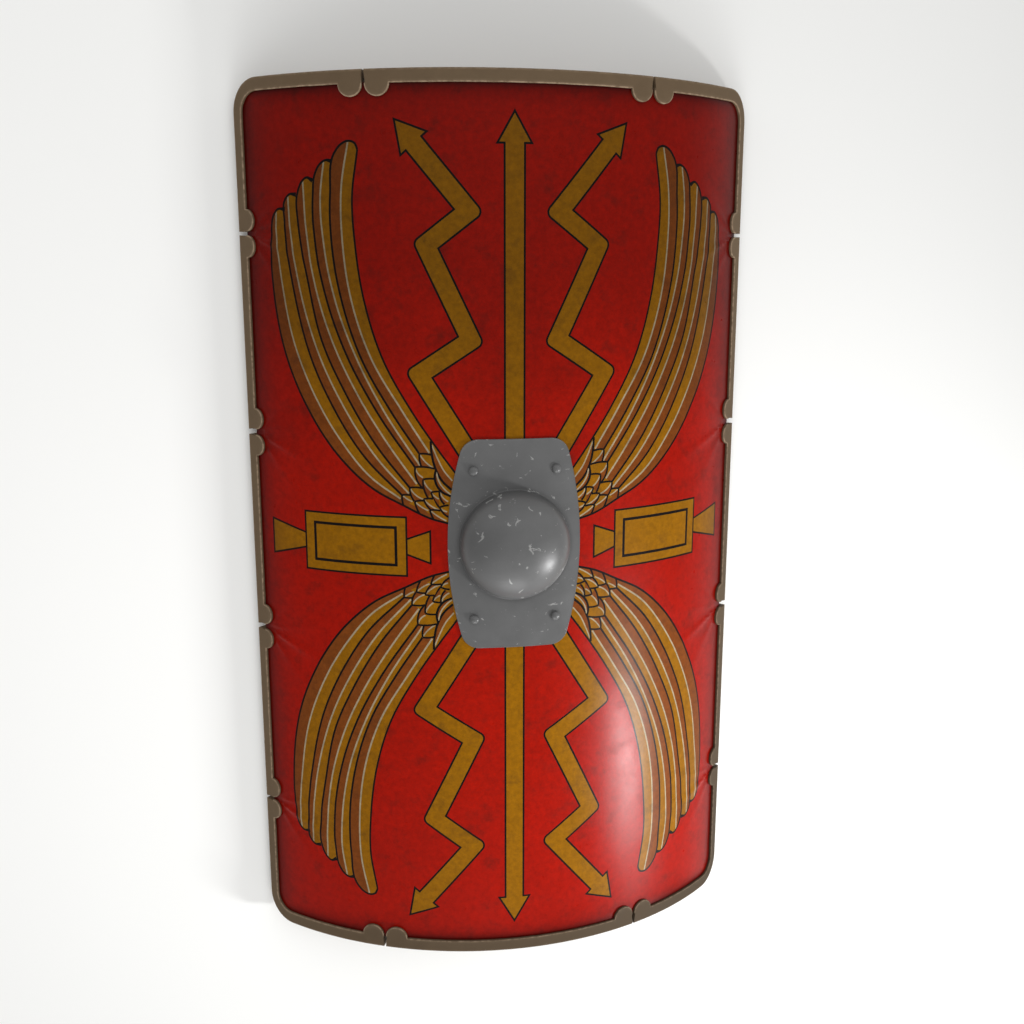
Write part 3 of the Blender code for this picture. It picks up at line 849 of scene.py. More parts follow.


# %% [markdown]
# ## Painted hide
#
# Rawhide, filled and painted with pigment in glue and oil, dries to a half gloss. Red ochre and
# vermilion carry a brown-black mottle of old dirt, and small specks gather in clouds. Painted shade
# darkens the paint along the binding, and the paint is darker towards the upper end. The paint's
# colour comes with the mesh; the nodes add what happened to it since, and the painted shade.

# %% Painted hide material
def painted_hide():
    """Half-gloss paint on rawhide: five paints from the mesh, then mottle, specks, darkening towards the
    upper end and painted shade along the binding.
    """
    material, tree, shader, places = new_material("oil painted rawhide, brushed")
    masks = mesh_value(tree, "paint").outputs
    split = node(tree, "SeparateColor", {0: masks["Color"]}).outputs
    broad = noise(tree, places, 90, 4.0)
    cloud = noise(tree, places, 24, 6.0, 0.62)
    fine = noise(tree, places, 5, 4.0, 0.6)
    hatch = noise(tree, places, 7, 9.0, 0.72)
    layer = layered(tree, broad, "9e0f00", "8c0d00")
    ochre = layered(tree, cloud, "7e5000", "8e5e02")
    brown = layered(tree, cloud, "6a340c", "7a4013")
    for mask, paint_on_top in ((split[0], ochre), (split[1], brown), (split[2], "9a8c72"),
                               (masks["Alpha"], "0c0a0a")):
        layer = layered(tree, mask, layer, paint_on_top)
    layer = dimmed(tree, layer, mapped(tree, hatch, (0.34, 0.66), (0.80, 1.16)))
    smudge = mapped(tree, cloud, (0.54, 0.76), (0.0, 0.42))
    layer = layered(tree, smudge, layer, "2a120a")
    dust = mapped(tree, fine, (0.62, 0.74), (0.0, 0.4))
    specks = maths(tree, "MULTIPLY", dust, smudge)
    specks = maths(tree, "MULTIPLY", specks, 2.0, use_clamp=True)
    layer = layered(tree, specks, layer, "160c08")
    # darker towards the upper end: the paint is dimmed by the height, with a little broad noise
    height = node(tree, "SeparateXYZ", {0: places}).outputs["Y"]
    uneven = maths(tree, "ADD", height, mapped(tree, broad, (0.0, 1.0), (-0.12, 0.12)))
    upper_darkening = mapped(tree, uneven, (0.03, 0.33), (1.0, 0.58), interpolation_type="SMOOTHSTEP")
    layer = dimmed(tree, layer, upper_darkening)
    # painted shade along the binding, from the mesh's rim value
    layer = layered(tree, mesh_value(tree, "rim").outputs["Fac"], layer, "240302")
    tree.links.new(layer, shader.inputs["Base Color"])
    tree.links.new(mapped(tree, cloud, (0.3, 0.7), (0.27, 0.33)), shader.inputs["Roughness"])
    shader.inputs["Specular IOR Level"].default_value = 0.1
    roughened(tree, shader, noise(tree, places, 2.2, 3.0), 0.12, 0.0006)
    return material


# %% [markdown]
# Now the drawing becomes the cover. The front follows the drawing and the folds, and the hidden back
# is plain, with few triangles. The paint's number goes to the mesh as four masks, and the distance
# to the binding as painted shade along it, which reaches twice as far in along the long sides.

# %% Build the cover
COVER_LATTICE = 3.5
HIDDEN_LATTICE = 14.0
RIM_SHADE_REACH = 60.0              # of the painted shade along the long sides; along the ends it is half of this
RIM_SHADE_FALL = 2.6                # how fast the painted shade thins over that reach
RIM_SHADE = 0.85               # its share right at the binding

shapes = [outline for outline, _ in canvas]
places, table, owners = cut_sheet(shapes, COVER_LATTICE)
hidden_places, hidden_table, _ = cut_sheet([], HIDDEN_LATTICE)
hide = painted_hide()
cover = closed_sheet("painted_hide_cover", (places, table), (hidden_places, hidden_table),
                     face_level, flat_level(COVER_BACK), hide)
even_normals(cover, places, face_level, len(table))

colours = np.array([RED] + [number for _, number in canvas])[owners]
masks = np.zeros((len(cover.data.loops), 4), np.float32)
painted = masks[:len(table) * 3].reshape(-1, 3, 4)
for number, channel in ((OCHRE, 0), (BROWN, 1), (PALE, 2), (BLACK, 3)):
    painted[colours == number, :, channel] = 1.0
layer = cover.data.attributes.new("paint", "FLOAT_COLOR", "CORNER")
layer.data.foreach_set("color", masks.ravel())

# painted shade along the binding: strongest at it, and reaching half as far in at the ends
from_rim = np.minimum(INNER_S - np.abs(places[:, 0]), 2 * (INNER_V - np.abs(places[:, 1])))
rim_shade = np.zeros(len(cover.data.vertices), np.float32)
rim_shade[:len(places)] = np.exp(-np.clip(from_rim, 0, None) / RIM_SHADE_REACH * RIM_SHADE_FALL) * RIM_SHADE
cover.data.attributes.new("rim", "FLOAT", "POINT").data.foreach_set("value", rim_shade)
fasten(cover, "painted_cover")

# %% [markdown]
# ## The board
#
# Real boards of this kind are plywood: three layers of thin wood strips glued crosswise, with the
# strips of the back layer running round the curve. The back shows their long joints, a little step
# from strip to strip, and the grain along each strip. The front is hidden by the hide.

# %% Board
STRIP_WIDTH = 61.0
STRIP_STEP = 0.16             # how much one strip may stand above the next
JOINT_DEPTH = 0.35
JOINT_HALF = 1.3
STRIP_HOLLOW = 0.12
STEP_SHARE = 0.9              # below one, so that no strip stands out of the solid board
JOINTS_EACH_WAY = 8
JOINT_SPACING = 7.0           # of the points along a joint
EDGE_MARGIN, HOLE_MARGIN = 6, 3
BOARD_LATTICE = 9.0

strip_count = int(SHEET_V / STRIP_WIDTH) * 2 + 4
strip_levels = np.random.default_rng(7).uniform(-1, 1, strip_count) * STRIP_STEP


def board_back(s, v):
    """Level of the board's back: a step for each strip, its hollow, and the joint's groove."""
    run = v / STRIP_WIDTH + strip_count // 2
    strip = np.clip(np.floor(run).astype(int), 0, strip_count - 2)
    share = run - strip
    from_joint = np.minimum(share, 1 - share) * STRIP_WIDTH
    blend = np.clip((share * STRIP_WIDTH - (STRIP_WIDTH - JOINT_HALF)) / JOINT_HALF, 0, 1) * 0.5
    blend = blend - np.clip((JOINT_HALF - share * STRIP_WIDTH) / JOINT_HALF, 0, 1) * 0.5
    other = np.where(blend > 0, strip_levels[strip + 1], strip_levels[np.maximum(strip - 1, 0)])
    step = strip_levels[strip] * (1 - np.abs(blend)) + other * np.abs(blend)
    groove = JOINT_DEPTH * np.clip(1 - from_joint / JOINT_HALF, 0, 1)
    hollow = STRIP_HOLLOW * (1 - (2 * share - 1) ** 2)
    return BOARD_BACK + STRIP_STEP + groove + hollow - step * STEP_SHARE


joints = np.arange(-JOINTS_EACH_WAY, JOINTS_EACH_WAY + 1) * STRIP_WIDTH
rows = (joints[:, None] + np.array([-JOINT_HALF, 0, JOINT_HALF])).ravel()
along = np.arange(-SHEET_S + EDGE_MARGIN, SHEET_S - EDGE_MARGIN, JOINT_SPACING)
joint_points = np.stack(np.meshgrid(along, rows), axis=-1).reshape(-1, 2)
joint_points = joint_points[np.linalg.norm(joint_points, axis=1) > HAND_HOLE + HOLE_MARGIN]
back_places, back_table, _ = cut_sheet([], BOARD_LATTICE, joint_points)


def glued_plywood():
    """Bare strips of lime or plane wood: long grain round the curve, tone changing by strip."""
    material, tree, shader, places = new_material("glued lime plywood, planed and aged")
    axes = node(tree, "SeparateXYZ", {0: places}).outputs
    number = maths(tree, "FLOOR", maths(tree, "DIVIDE", axes["Y"], STRIP_WIDTH * MM))
    tone = node(tree, "TexWhiteNoise", {"W": number}, noise_dimensions="1D").outputs["Value"]
    shift = node(tree, "CombineXYZ", {"X": tone, "Y": tone, "Z": number}).outputs[0]
    moved = node(tree, "VectorMath", {0: places, 1: shift}, operation="ADD").outputs[0]
    stretched = node(tree, "Mapping", {"Vector": moved, "Scale": (0.06, 1.0, 0.06)}).outputs[0]
    fibre = noise(tree, stretched, 2.5, 8.0, 0.65)
    light = layered(tree, fibre, "7c5a38", "a88056")
    dark = layered(tree, noise(tree, stretched, 14, 4.0, distortion=0.6), light, "5e3f24")
    tree.links.new(layered(tree, tone, dark, light), shader.inputs["Base Color"])
    shader.inputs["Roughness"].default_value = 0.62
    roughened(tree, shader, fibre, 0.25, 0.0005)
    return material


board = closed_sheet("plywood_board", (hidden_places, hidden_table), (back_places, back_table),
                     flat_level(BOARD_FRONT), board_back, glued_plywood())
fasten(board, "board")

# %% [markdown]
# ## Bronze binding
#
# The binding is sheet bronze folded to a channel over the board's edge, in twelve lengths. Each
# length ends in a round lobe on the face, where it was nailed or laced. A length is one profile, the
# section of the channel, carried along the edge: its inner line follows the lobes, its groove keeps
# to the board's edge and its outer line follows the rim.

# %% Rails along the edge
CORNER_OUTER, CORNER_INNER = 37.0, 23.0
SIDE_GAP_OUTER, SIDE_GAP_OUTER_WIDTH = 358.2, 4.2
SIDE_GAP_INNER, SIDE_GAP_INNER_WIDTH = 123.6, 6.6
END_GAP, END_GAP_WIDTH = 166.5, 2.8
SIDE_LOBE = (25.6, 11.8)      # length and depth
END_LOBE = (28.0, 13.6)
STATION_STEP = 2.5
LOBE_STATIONS = 18


def quarter_turn(centre, radius, steps=28):
    """A quarter circle from the top round to the right."""
    a = np.radians(np.linspace(90, 0, steps + 1))
    return np.array(centre) + radius * np.stack([np.cos(a), np.sin(a)], axis=-1)


def rails(kind):
    """The inner and outer line of a length, as points that face each other, and its two lobes."""
    side_gap = SIDE_GAP_OUTER + SIDE_GAP_OUTER_WIDTH / 2
    if kind == "end":
        reach = END_GAP - END_GAP_WIDTH / 2
        ends = np.array([-reach, reach])
        return (np.stack([ends, [INNER_V] * 2], -1), np.stack([ends, [HALF_HEIGHT] * 2], -1),
                END_LOBE, END_LOBE)
    if kind == "corner":
        start = END_GAP + END_GAP_WIDTH / 2
        inner_turn = quarter_turn((INNER_S - CORNER_INNER, INNER_V - CORNER_INNER), CORNER_INNER)
        outer_turn = quarter_turn((HALF_ARC - CORNER_OUTER, HALF_HEIGHT - CORNER_OUTER), CORNER_OUTER)
        inner = np.vstack([[(start, INNER_V)], inner_turn, [(INNER_S, side_gap)]])
        outer = np.vstack([[(start, HALF_HEIGHT)], outer_turn, [(HALF_ARC, side_gap)]])
        return inner, outer, END_LOBE, SIDE_LOBE
    low = SIDE_GAP_INNER + SIDE_GAP_INNER_WIDTH / 2
    high = SIDE_GAP_OUTER - SIDE_GAP_OUTER_WIDTH / 2
    if kind == "middle":
        high = SIDE_GAP_INNER - SIDE_GAP_INNER_WIDTH / 2
        low = -high
    ends = np.array([high, low])
    return (np.stack([[INNER_S] * 2, ends], -1), np.stack([[HALF_ARC] * 2, ends], -1),
            SIDE_LOBE, SIDE_LOBE)


def stations(length, first_lobe, last_lobe):
    """Places along a length: close together where a lobe begins and ends, even between."""
    swing = (1 - np.cos(np.linspace(0, math.pi, LOBE_STATIONS + 1))) / 2
    start, finish = first_lobe[0], length - last_lobe[0]
    middle = np.linspace(start, finish, max(2, int((finish - start) / STATION_STEP)))
    return np.concatenate([swing * start, middle[1:-1], finish + swing * last_lobe[0]])


def bulge(distance, lobe):
    """Half an ellipse over the lobe's length."""
    length, depth = lobe
    share = np.clip(1 - (2 * distance / length - 1) ** 2, 0, 1)
    return depth * np.sqrt(share)


# %% [markdown]
# The profile is a closed loop of points. Each is tied to one of the three lines and moved off it by
# some millimetres into the metal, at its own level. Its corners are rounded as hammered sheet is.
# A little noise along the loop and the length makes the metal hand-made: shallow dents on the flat
# and a slightly ragged inner line. It only ever takes metal away, so the size stays the solid's.

# %% Profile and channel
FRONT_ROUND = 0.7             # at the inner line, back and front
RIM_ROUND = 1.3               # at the outer line's front
FOOT_ROUND = 0.5              # at the outer line's back, on which the shield lies
INNER_FLAT = 1.6              # the flat of the face begins this far from the inner line
OUTER_FLAT = 2.6              # and ends this far from the outer one
GROOVE_PLAY = 0.3
DENT = 0.14
RAGGED = 0.35
BASE, LOBED, RIM, ACROSS = range(4)


def corner_arc(radius, start, end, steps=4):
    """Offset and drop of a rounded corner: pairs of distances from its two faces."""
    a = np.radians(np.linspace(start, end, steps + 1))
    return radius * (1 - np.cos(a)), radius * (1 - np.sin(a))


def profile():
    """The loop's points: the line each is tied to, its offset into the metal, its level and its wear.

    The offset of a point ACROSS the flat is its share of the way from the inner to the outer line.
    """
    loop = []
    into, drop = corner_arc(FRONT_ROUND, 0, 90)
    loop += [(LOBED, 0.0, GROOVE_FRONT, 0.0), (LOBED, 0.0, 1.6, 0.0)]
    loop += [(LOBED, a, BINDING_FRONT - b, 0.7) for a, b in zip(into, drop)]
    loop += [(LOBED, INNER_FLAT, BINDING_FRONT, 0.1)]
    loop += [(ACROSS, share, BINDING_FRONT, 0.0) for share in (0.2, 0.35, 0.5, 0.65, 0.8)]
    into, drop = corner_arc(RIM_ROUND, 90, 0)
    loop += [(RIM, OUTER_FLAT, BINDING_FRONT, 0.0)]
    loop += [(RIM, a, BINDING_FRONT - b, 0.25) for a, b in zip(into, drop)]
    loop += [(RIM, 0.0, level, 0.0) for level in (0.5, -3.5, -7.5)]
    into, drop = corner_arc(FOOT_ROUND, 0, 90)
    loop += [(RIM, a, BINDING_BACK + b, 0.8) for a, b in zip(into, drop)]
    loop += [(ACROSS, share, BINDING_BACK, 0.0) for share in (0.7, 0.4)]
    into, drop = corner_arc(FRONT_ROUND, 90, 0)
    loop += [(LOBED, a, BINDING_BACK + b, 0.8) for a, b in zip(into, drop)]
    groove = GROOVE_DEPTH + GROOVE_PLAY
    loop += [(LOBED, 0.0, GROOVE_BACK, 0.0), (BASE, groove, GROOVE_BACK, 0.0)]
    loop += [(BASE, groove, GROOVE_FRONT, 0.0)]
    return loop


def waves(u, w, seed, octaves=3):
    """Smooth noise over two coordinates between -1 and 1: sums of crossed sine waves."""
    rng = np.random.default_rng(seed)
    total = 0.0
    for k in range(octaves):
        a, b, c = rng.uniform(0.6, 1.4, 3)
        p, q = rng.uniform(0, 2 * math.pi, 2)
        crossed = np.sin(2 ** k * (a * u + b * w) + p) * np.sin(2 ** k * (c * u - a * w) + q)
        total = total + crossed / 1.6 ** k
    return total / 1.8


def channel(name, kind, across, upright, seed, material):
    """One length of binding, with caps at both ends."""
    inner_rail, outer_rail, first_lobe, last_lobe = rails(kind)
    steps = np.linalg.norm(np.diff(inner_rail, axis=0), axis=1)
    lengths = np.concatenate([[0], np.cumsum(steps)])
    at = stations(lengths[-1], first_lobe, last_lobe)
    base = np.stack([np.interp(at, lengths, inner_rail[:, k]) for k in (0, 1)], axis=-1)
    rim = np.stack([np.interp(at, lengths, outer_rail[:, k]) for k in (0, 1)], axis=-1)
    outwards = unit(rim - base)
    ragged = RAGGED * (0.5 + 0.5 * waves(at / 9, at / 31, seed))
    reach = bulge(at, first_lobe) + bulge(lengths[-1] - at, last_lobe) - ragged
    lobed = base - outwards * reach[:, None]
    run = unit(np.gradient(lobed, axis=0))
    into_metal = np.stack([-run[:, 1], run[:, 0]], axis=-1)
    into_metal *= np.sign((into_metal * outwards).sum())
    loop = profile()
    columns = []
    levels = []
    for line, offset, level, _ in loop:
        dent = 0.0
        if line == ACROSS:
            near, far = lobed + into_metal * INNER_FLAT, rim - outwards * OUTER_FLAT
            columns.append(near + (far - near) * offset)
            dent = DENT * (0.5 + 0.5 * waves(at / 7, offset * 4 + 0 * at, seed + 50))
        elif line == RIM:
            columns.append(rim - outwards * offset)
        else:
            columns.append((base + outwards * offset) if line == BASE else (lobed + into_metal * offset))
        levels.append(level - np.sign(level) * dent + 0 * at)
    flat = np.stack(columns, axis=1) * (across, upright)
    level = np.stack(levels, axis=1)
    points = bend(flat[..., 0], flat[..., 1], level).reshape(-1, 3)
    faces = grid_faces(len(at), len(loop), closed_columns=True)
    caps = end_caps(len(at), len(loop))
    if across * upright < 0:
        faces, caps = faces[:, ::-1], caps[:, ::-1]
    piece = make_piece(name, points, [faces[:, ::-1], caps[:, ::-1]], material, sharp_from=50)
    wear = np.tile(np.array([entry[3] for entry in loop], np.float32), len(at))
    piece.data.attributes.new("wear", "FLOAT", "POINT").data.foreach_set("value", wear)
    return piece


# %% [markdown]
# Old bronze outdoors goes brown and dull. Handling keeps the edges lighter. The lengths carry
# painted shade that darkens them towards the lower right. The same metal goes on all twelve lengths.

# %% Bronze material and the twelve lengths
def dull_bronze():
    """Brown bronze: worn edges are lighter, and painted shade darkens the lower right."""
    material, tree, shader, places = new_material("sheet bronze, hammered and tarnished")
    cloud = noise(tree, places, 20, 5.0, 0.6)
    kept = mapped(tree, noise(tree, places, 6, 3.0), (0.38, 0.6), (0.25, 1.0))
    rubbed = maths(tree, "MULTIPLY", mesh_value(tree, "wear").outputs["Fac"], kept)
    skin = layered(tree, cloud, "5c4c3a", "6a5945")
    mixed = layered(tree, rubbed, skin, "a8927a")
    # painted shade: the lengths are darker towards the lower right
    lower_right_shade = node(tree, "VectorMath", {0: places, 1: (1.0, -0.9, 0.0)}, operation="DOT_PRODUCT")
    lower_right_shade = lower_right_shade.outputs["Value"]
    mixed = dimmed(tree, mixed, mapped(tree, lower_right_shade, (0.0, 0.72), (1.0, 0.42)))
    tree.links.new(mixed, shader.inputs["Base Color"])
    shader.inputs["Metallic"].default_value = 0.05
    shader.inputs["Specular IOR Level"].default_value = 0.1
    tree.links.new(mapped(tree, cloud, (0.3, 0.7), (0.58, 0.68)), shader.inputs["Roughness"])
    roughened(tree, shader, noise(tree, places, 3, 4.0), 0.15, 0.0004)
    return material


bronze = dull_bronze()
lengths_made = []
for upright, end in ((1, "top"), (-1, "bottom")):
    lengths_made.append((f"binding_{end}", "end", 1, upright))
    for across, side in ((-1, "left"), (1, "right")):
        lengths_made.append((f"binding_corner_{end}_{side}", "corner", across, upright))
for across, side in ((-1, "left"), (1, "right")):
    lengths_made.append((f"binding_{side}_upper", "side", across, 1))
    lengths_made.append((f"binding_{side}_middle", "middle", across, 1))
    lengths_made.append((f"binding_{side}_lower", "side", across, -1))
for seed, (solid, kind, across, upright) in enumerate(lengths_made):
    piece = channel("bronze_" + solid, kind, across, upright, seed, bronze)
    fasten(piece, solid)

# %% [markdown]
# ## The iron boss
#
# A smith raised the dome from one iron plate over a hollow in the anvil block, then trimmed the
# plate to a barrel shape and bent it to the board. It is one surface: rings about the crown that
# first follow the dome, then spread to the plate's outline, turn over its edge and come back below.

# %% Boss outline
BOSS_HALF_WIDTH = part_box("boss")[1].x / MM
BOSS_HALF_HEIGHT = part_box("boss")[1].y / MM
BOSS_SIDE_RADIUS = 400.0
BOSS_CORNER = 22.0
PLATE_BACK, PLATE_FRONT = 0.3, 2.3
DOME_RADIUS, DOME_RISE, SHEET = 65.5, 38.0, 2.0
BOSS_SPOKES = 360


def plate_reach(angles):
    """Distance from the middle to the plate's edge at each angle: side arc, corner arc or straight end."""
    half_s = FACE_RADIUS * math.asin(BOSS_HALF_WIDTH / (FACE_RADIUS + PLATE_FRONT))
    centre = half_s - BOSS_SIDE_RADIUS
    corner_v = BOSS_HALF_HEIGHT - BOSS_CORNER
    reach = BOSS_SIDE_RADIUS - BOSS_CORNER
    corner_s = centre + math.sqrt(reach ** 2 - corner_v ** 2)
    lean = math.asin(corner_v / reach)
    side = np.linspace(0, lean, 60)
    turn = np.linspace(lean, math.pi / 2, 60)
    s = [centre + BOSS_SIDE_RADIUS * np.cos(side), corner_s + BOSS_CORNER * np.cos(turn), [0]]
    v = [BOSS_SIDE_RADIUS * np.sin(side), corner_v + BOSS_CORNER * np.sin(turn), [BOSS_HALF_HEIGHT]]
    s, v = np.concatenate(s), np.concatenate(v)
    folded = np.arcsin(np.abs(np.sin(angles)))
    run = np.linspace(0, 1, 4000)
    fine_s = np.interp(run, np.linspace(0, 1, len(s)), s)
    fine_v = np.interp(run, np.linspace(0, 1, len(v)), v)
    return np.interp(folded, np.arctan2(fine_v, fine_s), np.hypot(fine_s, fine_v))


# %% [markdown]
# A lathe tool would leave the plate round, so the rings are worked out here: each has a distance
# from the middle at every spoke and a level. Bending them to the board afterwards gives the plate
# the shield's own curve, as the smith did by hammering it over the board.

# %% Boss surface
FILLET = 1.6
EDGE_ROUND = 0.8
BOSS_DENT, BOSS_DENT_SIZE = 0.12, 17
BOSS_SEED = 90

spokes = np.linspace(0, 2 * math.pi, BOSS_SPOKES, endpoint=False)
edge = plate_reach(spokes)
rise = np.radians(np.linspace(90, 0, 42)[1:-1])
rings = [(DOME_RADIUS * math.cos(a) + 0 * edge, PLATE_FRONT + DOME_RISE * math.sin(a)) for a in rise]
rings = [(r, n) for r, n in rings if n > PLATE_FRONT + FILLET]
for a in np.radians(np.linspace(0, 90, 6)):
    foot = DOME_RADIUS + FILLET * (1 - math.cos(a))
    rings.append((foot + 0 * edge, PLATE_FRONT + FILLET * (1 - math.sin(a))))
start = DOME_RADIUS + FILLET
for share in np.linspace(0, 1, 22)[1:-1]:
    rings.append((start + (edge - EDGE_ROUND - start) * share, PLATE_FRONT))
for a in np.radians(np.linspace(90, 0, 5)):
    rings.append((edge - EDGE_ROUND * (1 - math.cos(a)), PLATE_FRONT - EDGE_ROUND * (1 - math.sin(a))))
top_rings = len(rings)
rings.append((edge, PLATE_BACK))
hollow = DOME_RADIUS - SHEET
for share in np.linspace(0, 1, 8)[1:-1]:
    rings.append((edge + (hollow - edge) * share, PLATE_BACK))
for a in np.radians(np.linspace(0, 90, 30)[:-1]):
    rings.append((hollow * math.cos(a) + 0 * edge, PLATE_BACK + DOME_RISE * math.sin(a)))
radius = np.stack([r for r, _ in rings])
level = np.array([n for _, n in rings])[:, None] + 0 * radius
s, v = radius * np.cos(spokes), radius * np.sin(spokes)
dents = BOSS_DENT * waves(s / BOSS_DENT_SIZE, v / BOSS_DENT_SIZE, BOSS_SEED)
on_top = np.arange(len(rings))[:, None] < top_rings
level = level - np.where(on_top & (level > PLATE_FRONT - 0.01), BOSS_DENT + dents, 0)
points = bend(s, v, level).reshape(-1, 3)
crown = bend([0.0, 0.0], [0.0, 0.0], [PLATE_FRONT + DOME_RISE, PLATE_BACK + DOME_RISE])
points = np.vstack([points, crown])
print(len(rings), "rings of", BOSS_SPOKES, "points")

# %% [markdown]
# Forged and waxed iron is mid grey under a thin dull film. Where it was knocked, flakes of the film
# are gone and show brighter metal in ragged spots and short scratches. Painted shade darkens the
# crease round the dome.

# %% Iron material and boss
def forged_iron():
    """Dull grey iron with soft mottle, painted shade in the crease round the dome and small bright flakes.
    """
    material, tree, shader, places = new_material("wrought iron, forged and waxed")
    cloud = noise(tree, places, 30, 6.0, 0.6)
    flakes = noise(tree, places, 14, 7.0, 0.62, 1.1)
    skin = layered(tree, cloud, "585858", "656565")
    # painted shade in the crease round the dome, on both sides of its foot
    flat = node(tree, "VectorMath", {0: places, 1: (1, 1, 0)}, operation="MULTIPLY").outputs[0]
    away = node(tree, "VectorMath", {0: flat}, operation="LENGTH").outputs["Value"]
    apart = maths(tree, "ABSOLUTE", maths(tree, "SUBTRACT", away, DOME_RADIUS * MM))
    skin = layered(tree, mapped(tree, apart, (0.0, 0.006), (0.34, 0.0)), skin, "2c2b2a")
    mixed = layered(tree, mapped(tree, flakes, (0.63, 0.65), (0.0, 0.6)), skin, "a4a4a2")
    tree.links.new(mixed, shader.inputs["Base Color"])
    shader.inputs["Metallic"].default_value = 0.12
    shader.inputs["Specular IOR Level"].default_value = 0.24
    tree.links.new(mapped(tree, cloud, (0.3, 0.7), (0.29, 0.36)), shader.inputs["Roughness"])
    roughened(tree, shader, noise(tree, places, 4, 5.0), 0.12, 0.0005)
    return material


iron = forged_iron()
boss = make_piece("iron_boss", points, turned_faces(len(rings), BOSS_SPOKES), iron, sharp_from=45)
fasten(boss, "boss")

# %% [markdown]
# Four rivets hold the boss. Each is turned about its own axis: a low round head on the plate, the
# shank through board and hide, and a flat clenched tail behind.

# %% Rivets
RIVET_S, RIVET_V = 48.7, 89.5
HEAD_RADIUS, HEAD_HEIGHT = 5.6, 4.2
SHANK_RADIUS, TAIL_RADIUS, TAIL_HEIGHT = 2.5, 5.0, 1.5
HEAD_EDGE = 0.6               # the head's upright rim
REST_GAP = 0.3                # from the head to the plate, and from the tail to the board
RIVET_SPOKES = 48


def rivet_section():
    """Radius and level down the rivet, from the head's crown to the tail's middle."""
    a = np.radians(np.linspace(90, 0, 14)[1:])
    foot = PLATE_FRONT + REST_GAP
    arch = HEAD_HEIGHT - HEAD_EDGE
    head = [(HEAD_RADIUS * math.cos(x), foot + HEAD_EDGE + arch * math.sin(x)) for x in a]
    head += [(HEAD_RADIUS - 0.15, foot), (SHANK_RADIUS, foot)]
    tail = BOARD_BACK - REST_GAP
    below = [(SHANK_RADIUS, tail), (TAIL_RADIUS - 0.3, tail), (TAIL_RADIUS, tail - 0.4),
             (TAIL_RADIUS - 0.2, tail - TAIL_HEIGHT + 0.3), (TAIL_RADIUS - 0.8, tail - TAIL_HEIGHT)]
    return np.array(head + below), foot + HEAD_HEIGHT, tail - TAIL_HEIGHT


section, head_top, tail_end = rivet_section()
around = np.linspace(0, 2 * math.pi, RIVET_SPOKES, endpoint=False)
for upright, height in ((1, "upper"), (-1, "lower")):
    for across, side in ((-1, "left"), (1, "right")):
        s = across * RIVET_S + section[:, :1] * np.cos(around)
        v = upright * RIVET_V + section[:, :1] * np.sin(around)
        body = bend(s, v, section[:, 1:]).reshape(-1, 3)
        ends = bend([across * RIVET_S] * 2, [upright * RIVET_V] * 2, [head_top, tail_end])
        rivet = make_piece(f"iron_rivet_{height}_{side}", np.vstack([body, ends]),
                           turned_faces(len(section), RIVET_SPOKES), iron, sharp_from=50)
        fasten(rivet, f"boss_rivet_{height}_{side}")

# %% [markdown]
# ## The grip
#
# The hand holds one level bar of ash behind the boss. Its ends are square and sit on the board, and
# the part between is rounded and polished by the hand. It is a superellipse whose power and size
# change along the bar, cut off on top by the board's own curve.

# %% Grip shape
GRIP_LENGTH, GRIP_DEPTH = 190.0, 24.0
GRIP_END, GRIP_HAND = 40.0, 30.0       # height at the ends and in the hand
HAND_LENGTH, BLEND_LENGTH = 100.0, 14.0
SEAT_MARGIN = 10.0
GRIP_STATIONS, GRIP_SPOKES = 96, 72
END_EASE, END_TAPER = 2.5, 0.06        # the last millimetres narrow by this share
HAND_POWER, ADDED_POWER = 2.6, 5       # of the superellipse in the hand, and more towards the ends
GRIP_GAP, SEAT_GAP = 0.3, 0.6


def squared_off(wave, power):
    """A sine or cosine raised to a power, keeping its sign: one side of a superellipse."""
    return np.sign(wave) * np.abs(wave) ** power


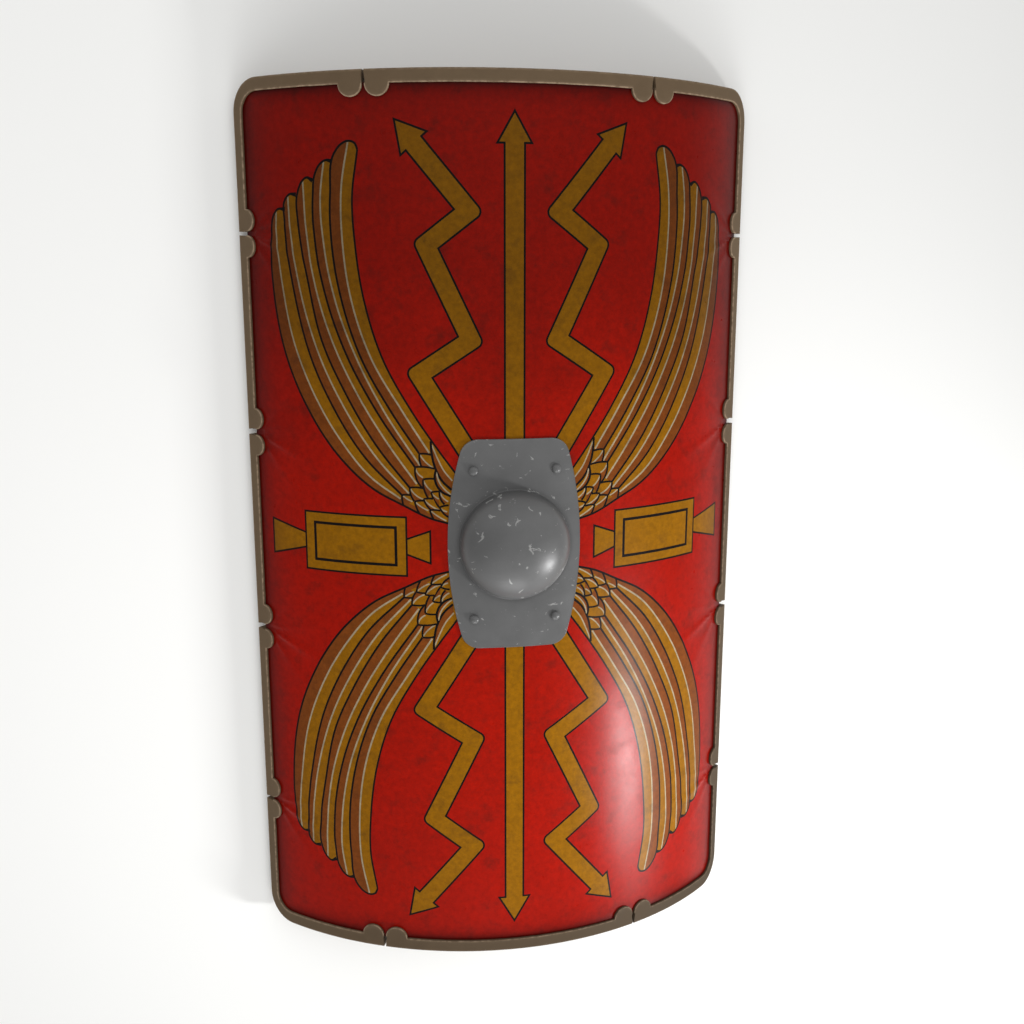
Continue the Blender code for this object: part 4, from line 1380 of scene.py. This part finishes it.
board_low = AXIS_Z + FACE_RADIUS + BOARD_BACK - GRIP_GAP
grip_back = board_low - GRIP_DEPTH
half = GRIP_LENGTH / 2
at = half * np.sin(np.linspace(-math.pi / 2, math.pi / 2, GRIP_STATIONS))[:, None]
square = np.clip((np.abs(at) - HAND_LENGTH / 2) / BLEND_LENGTH, 0, 1)
square = square * square * (3 - 2 * square)
ease = np.clip((half - np.abs(at)) / END_EASE, 0, 1)
ease = 1 - END_TAPER * (1 - np.sqrt(1 - (1 - ease) ** 2 + 1e-9))
around = np.linspace(0, 2 * math.pi, GRIP_SPOKES, endpoint=False)
power = 2 / (HAND_POWER + ADDED_POWER * square)
half_height = (GRIP_HAND + square * (GRIP_END - GRIP_HAND)) / 2 * ease
half_depth = (GRIP_DEPTH + square * SEAT_MARGIN) / 2
y = half_height * squared_off(np.cos(around), power)
z = grip_back + half_depth + half_depth * ease * squared_off(np.sin(around), power)
seat = AXIS_Z + np.sqrt((FACE_RADIUS + BOARD_BACK - SEAT_GAP) ** 2 - at ** 2)
z = np.minimum(z, seat)
points = np.stack(np.broadcast_arrays(at, y, z), axis=-1).reshape(-1, 3) * MM
print("grip", GRIP_LENGTH, "mm long,", round(float(np.ptp(y)), 1), "mm high")

# %% [markdown]
# A bar that is held every day goes dark and smooth. The grain runs along it, so the noise is drawn
# out lengthwise. It runs on through the wood, where a flat wood picture would show a seam.

# %% Ash material and grip
def handled_ash():
    """Ash wood darkened and polished by the hand: long pale and brown grain, soft gloss."""
    material, tree, shader, places = new_material("ash wood, shaved and hand polished")
    stretched = node(tree, "Mapping", {"Vector": places, "Scale": (0.08, 1.0, 1.0)}).outputs[0]
    grain = noise(tree, stretched, 3, 7.0, 0.62)
    light = layered(tree, grain, "6b4527", "94683f")
    toned = layered(tree, noise(tree, stretched, 11, 3.0, distortion=0.8), light, "4e2f18")
    tree.links.new(toned, shader.inputs["Base Color"])
    shader.inputs["Roughness"].default_value = 0.42
    roughened(tree, shader, grain, 0.2, 0.0004)
    return material


grip_faces = [grid_faces(GRIP_STATIONS, GRIP_SPOKES, closed_columns=True),
              end_caps(GRIP_STATIONS, GRIP_SPOKES)]
grip = make_piece("ash_grip", points, grip_faces, handled_ash(), sharp_from=40)
fasten(grip, "grip")
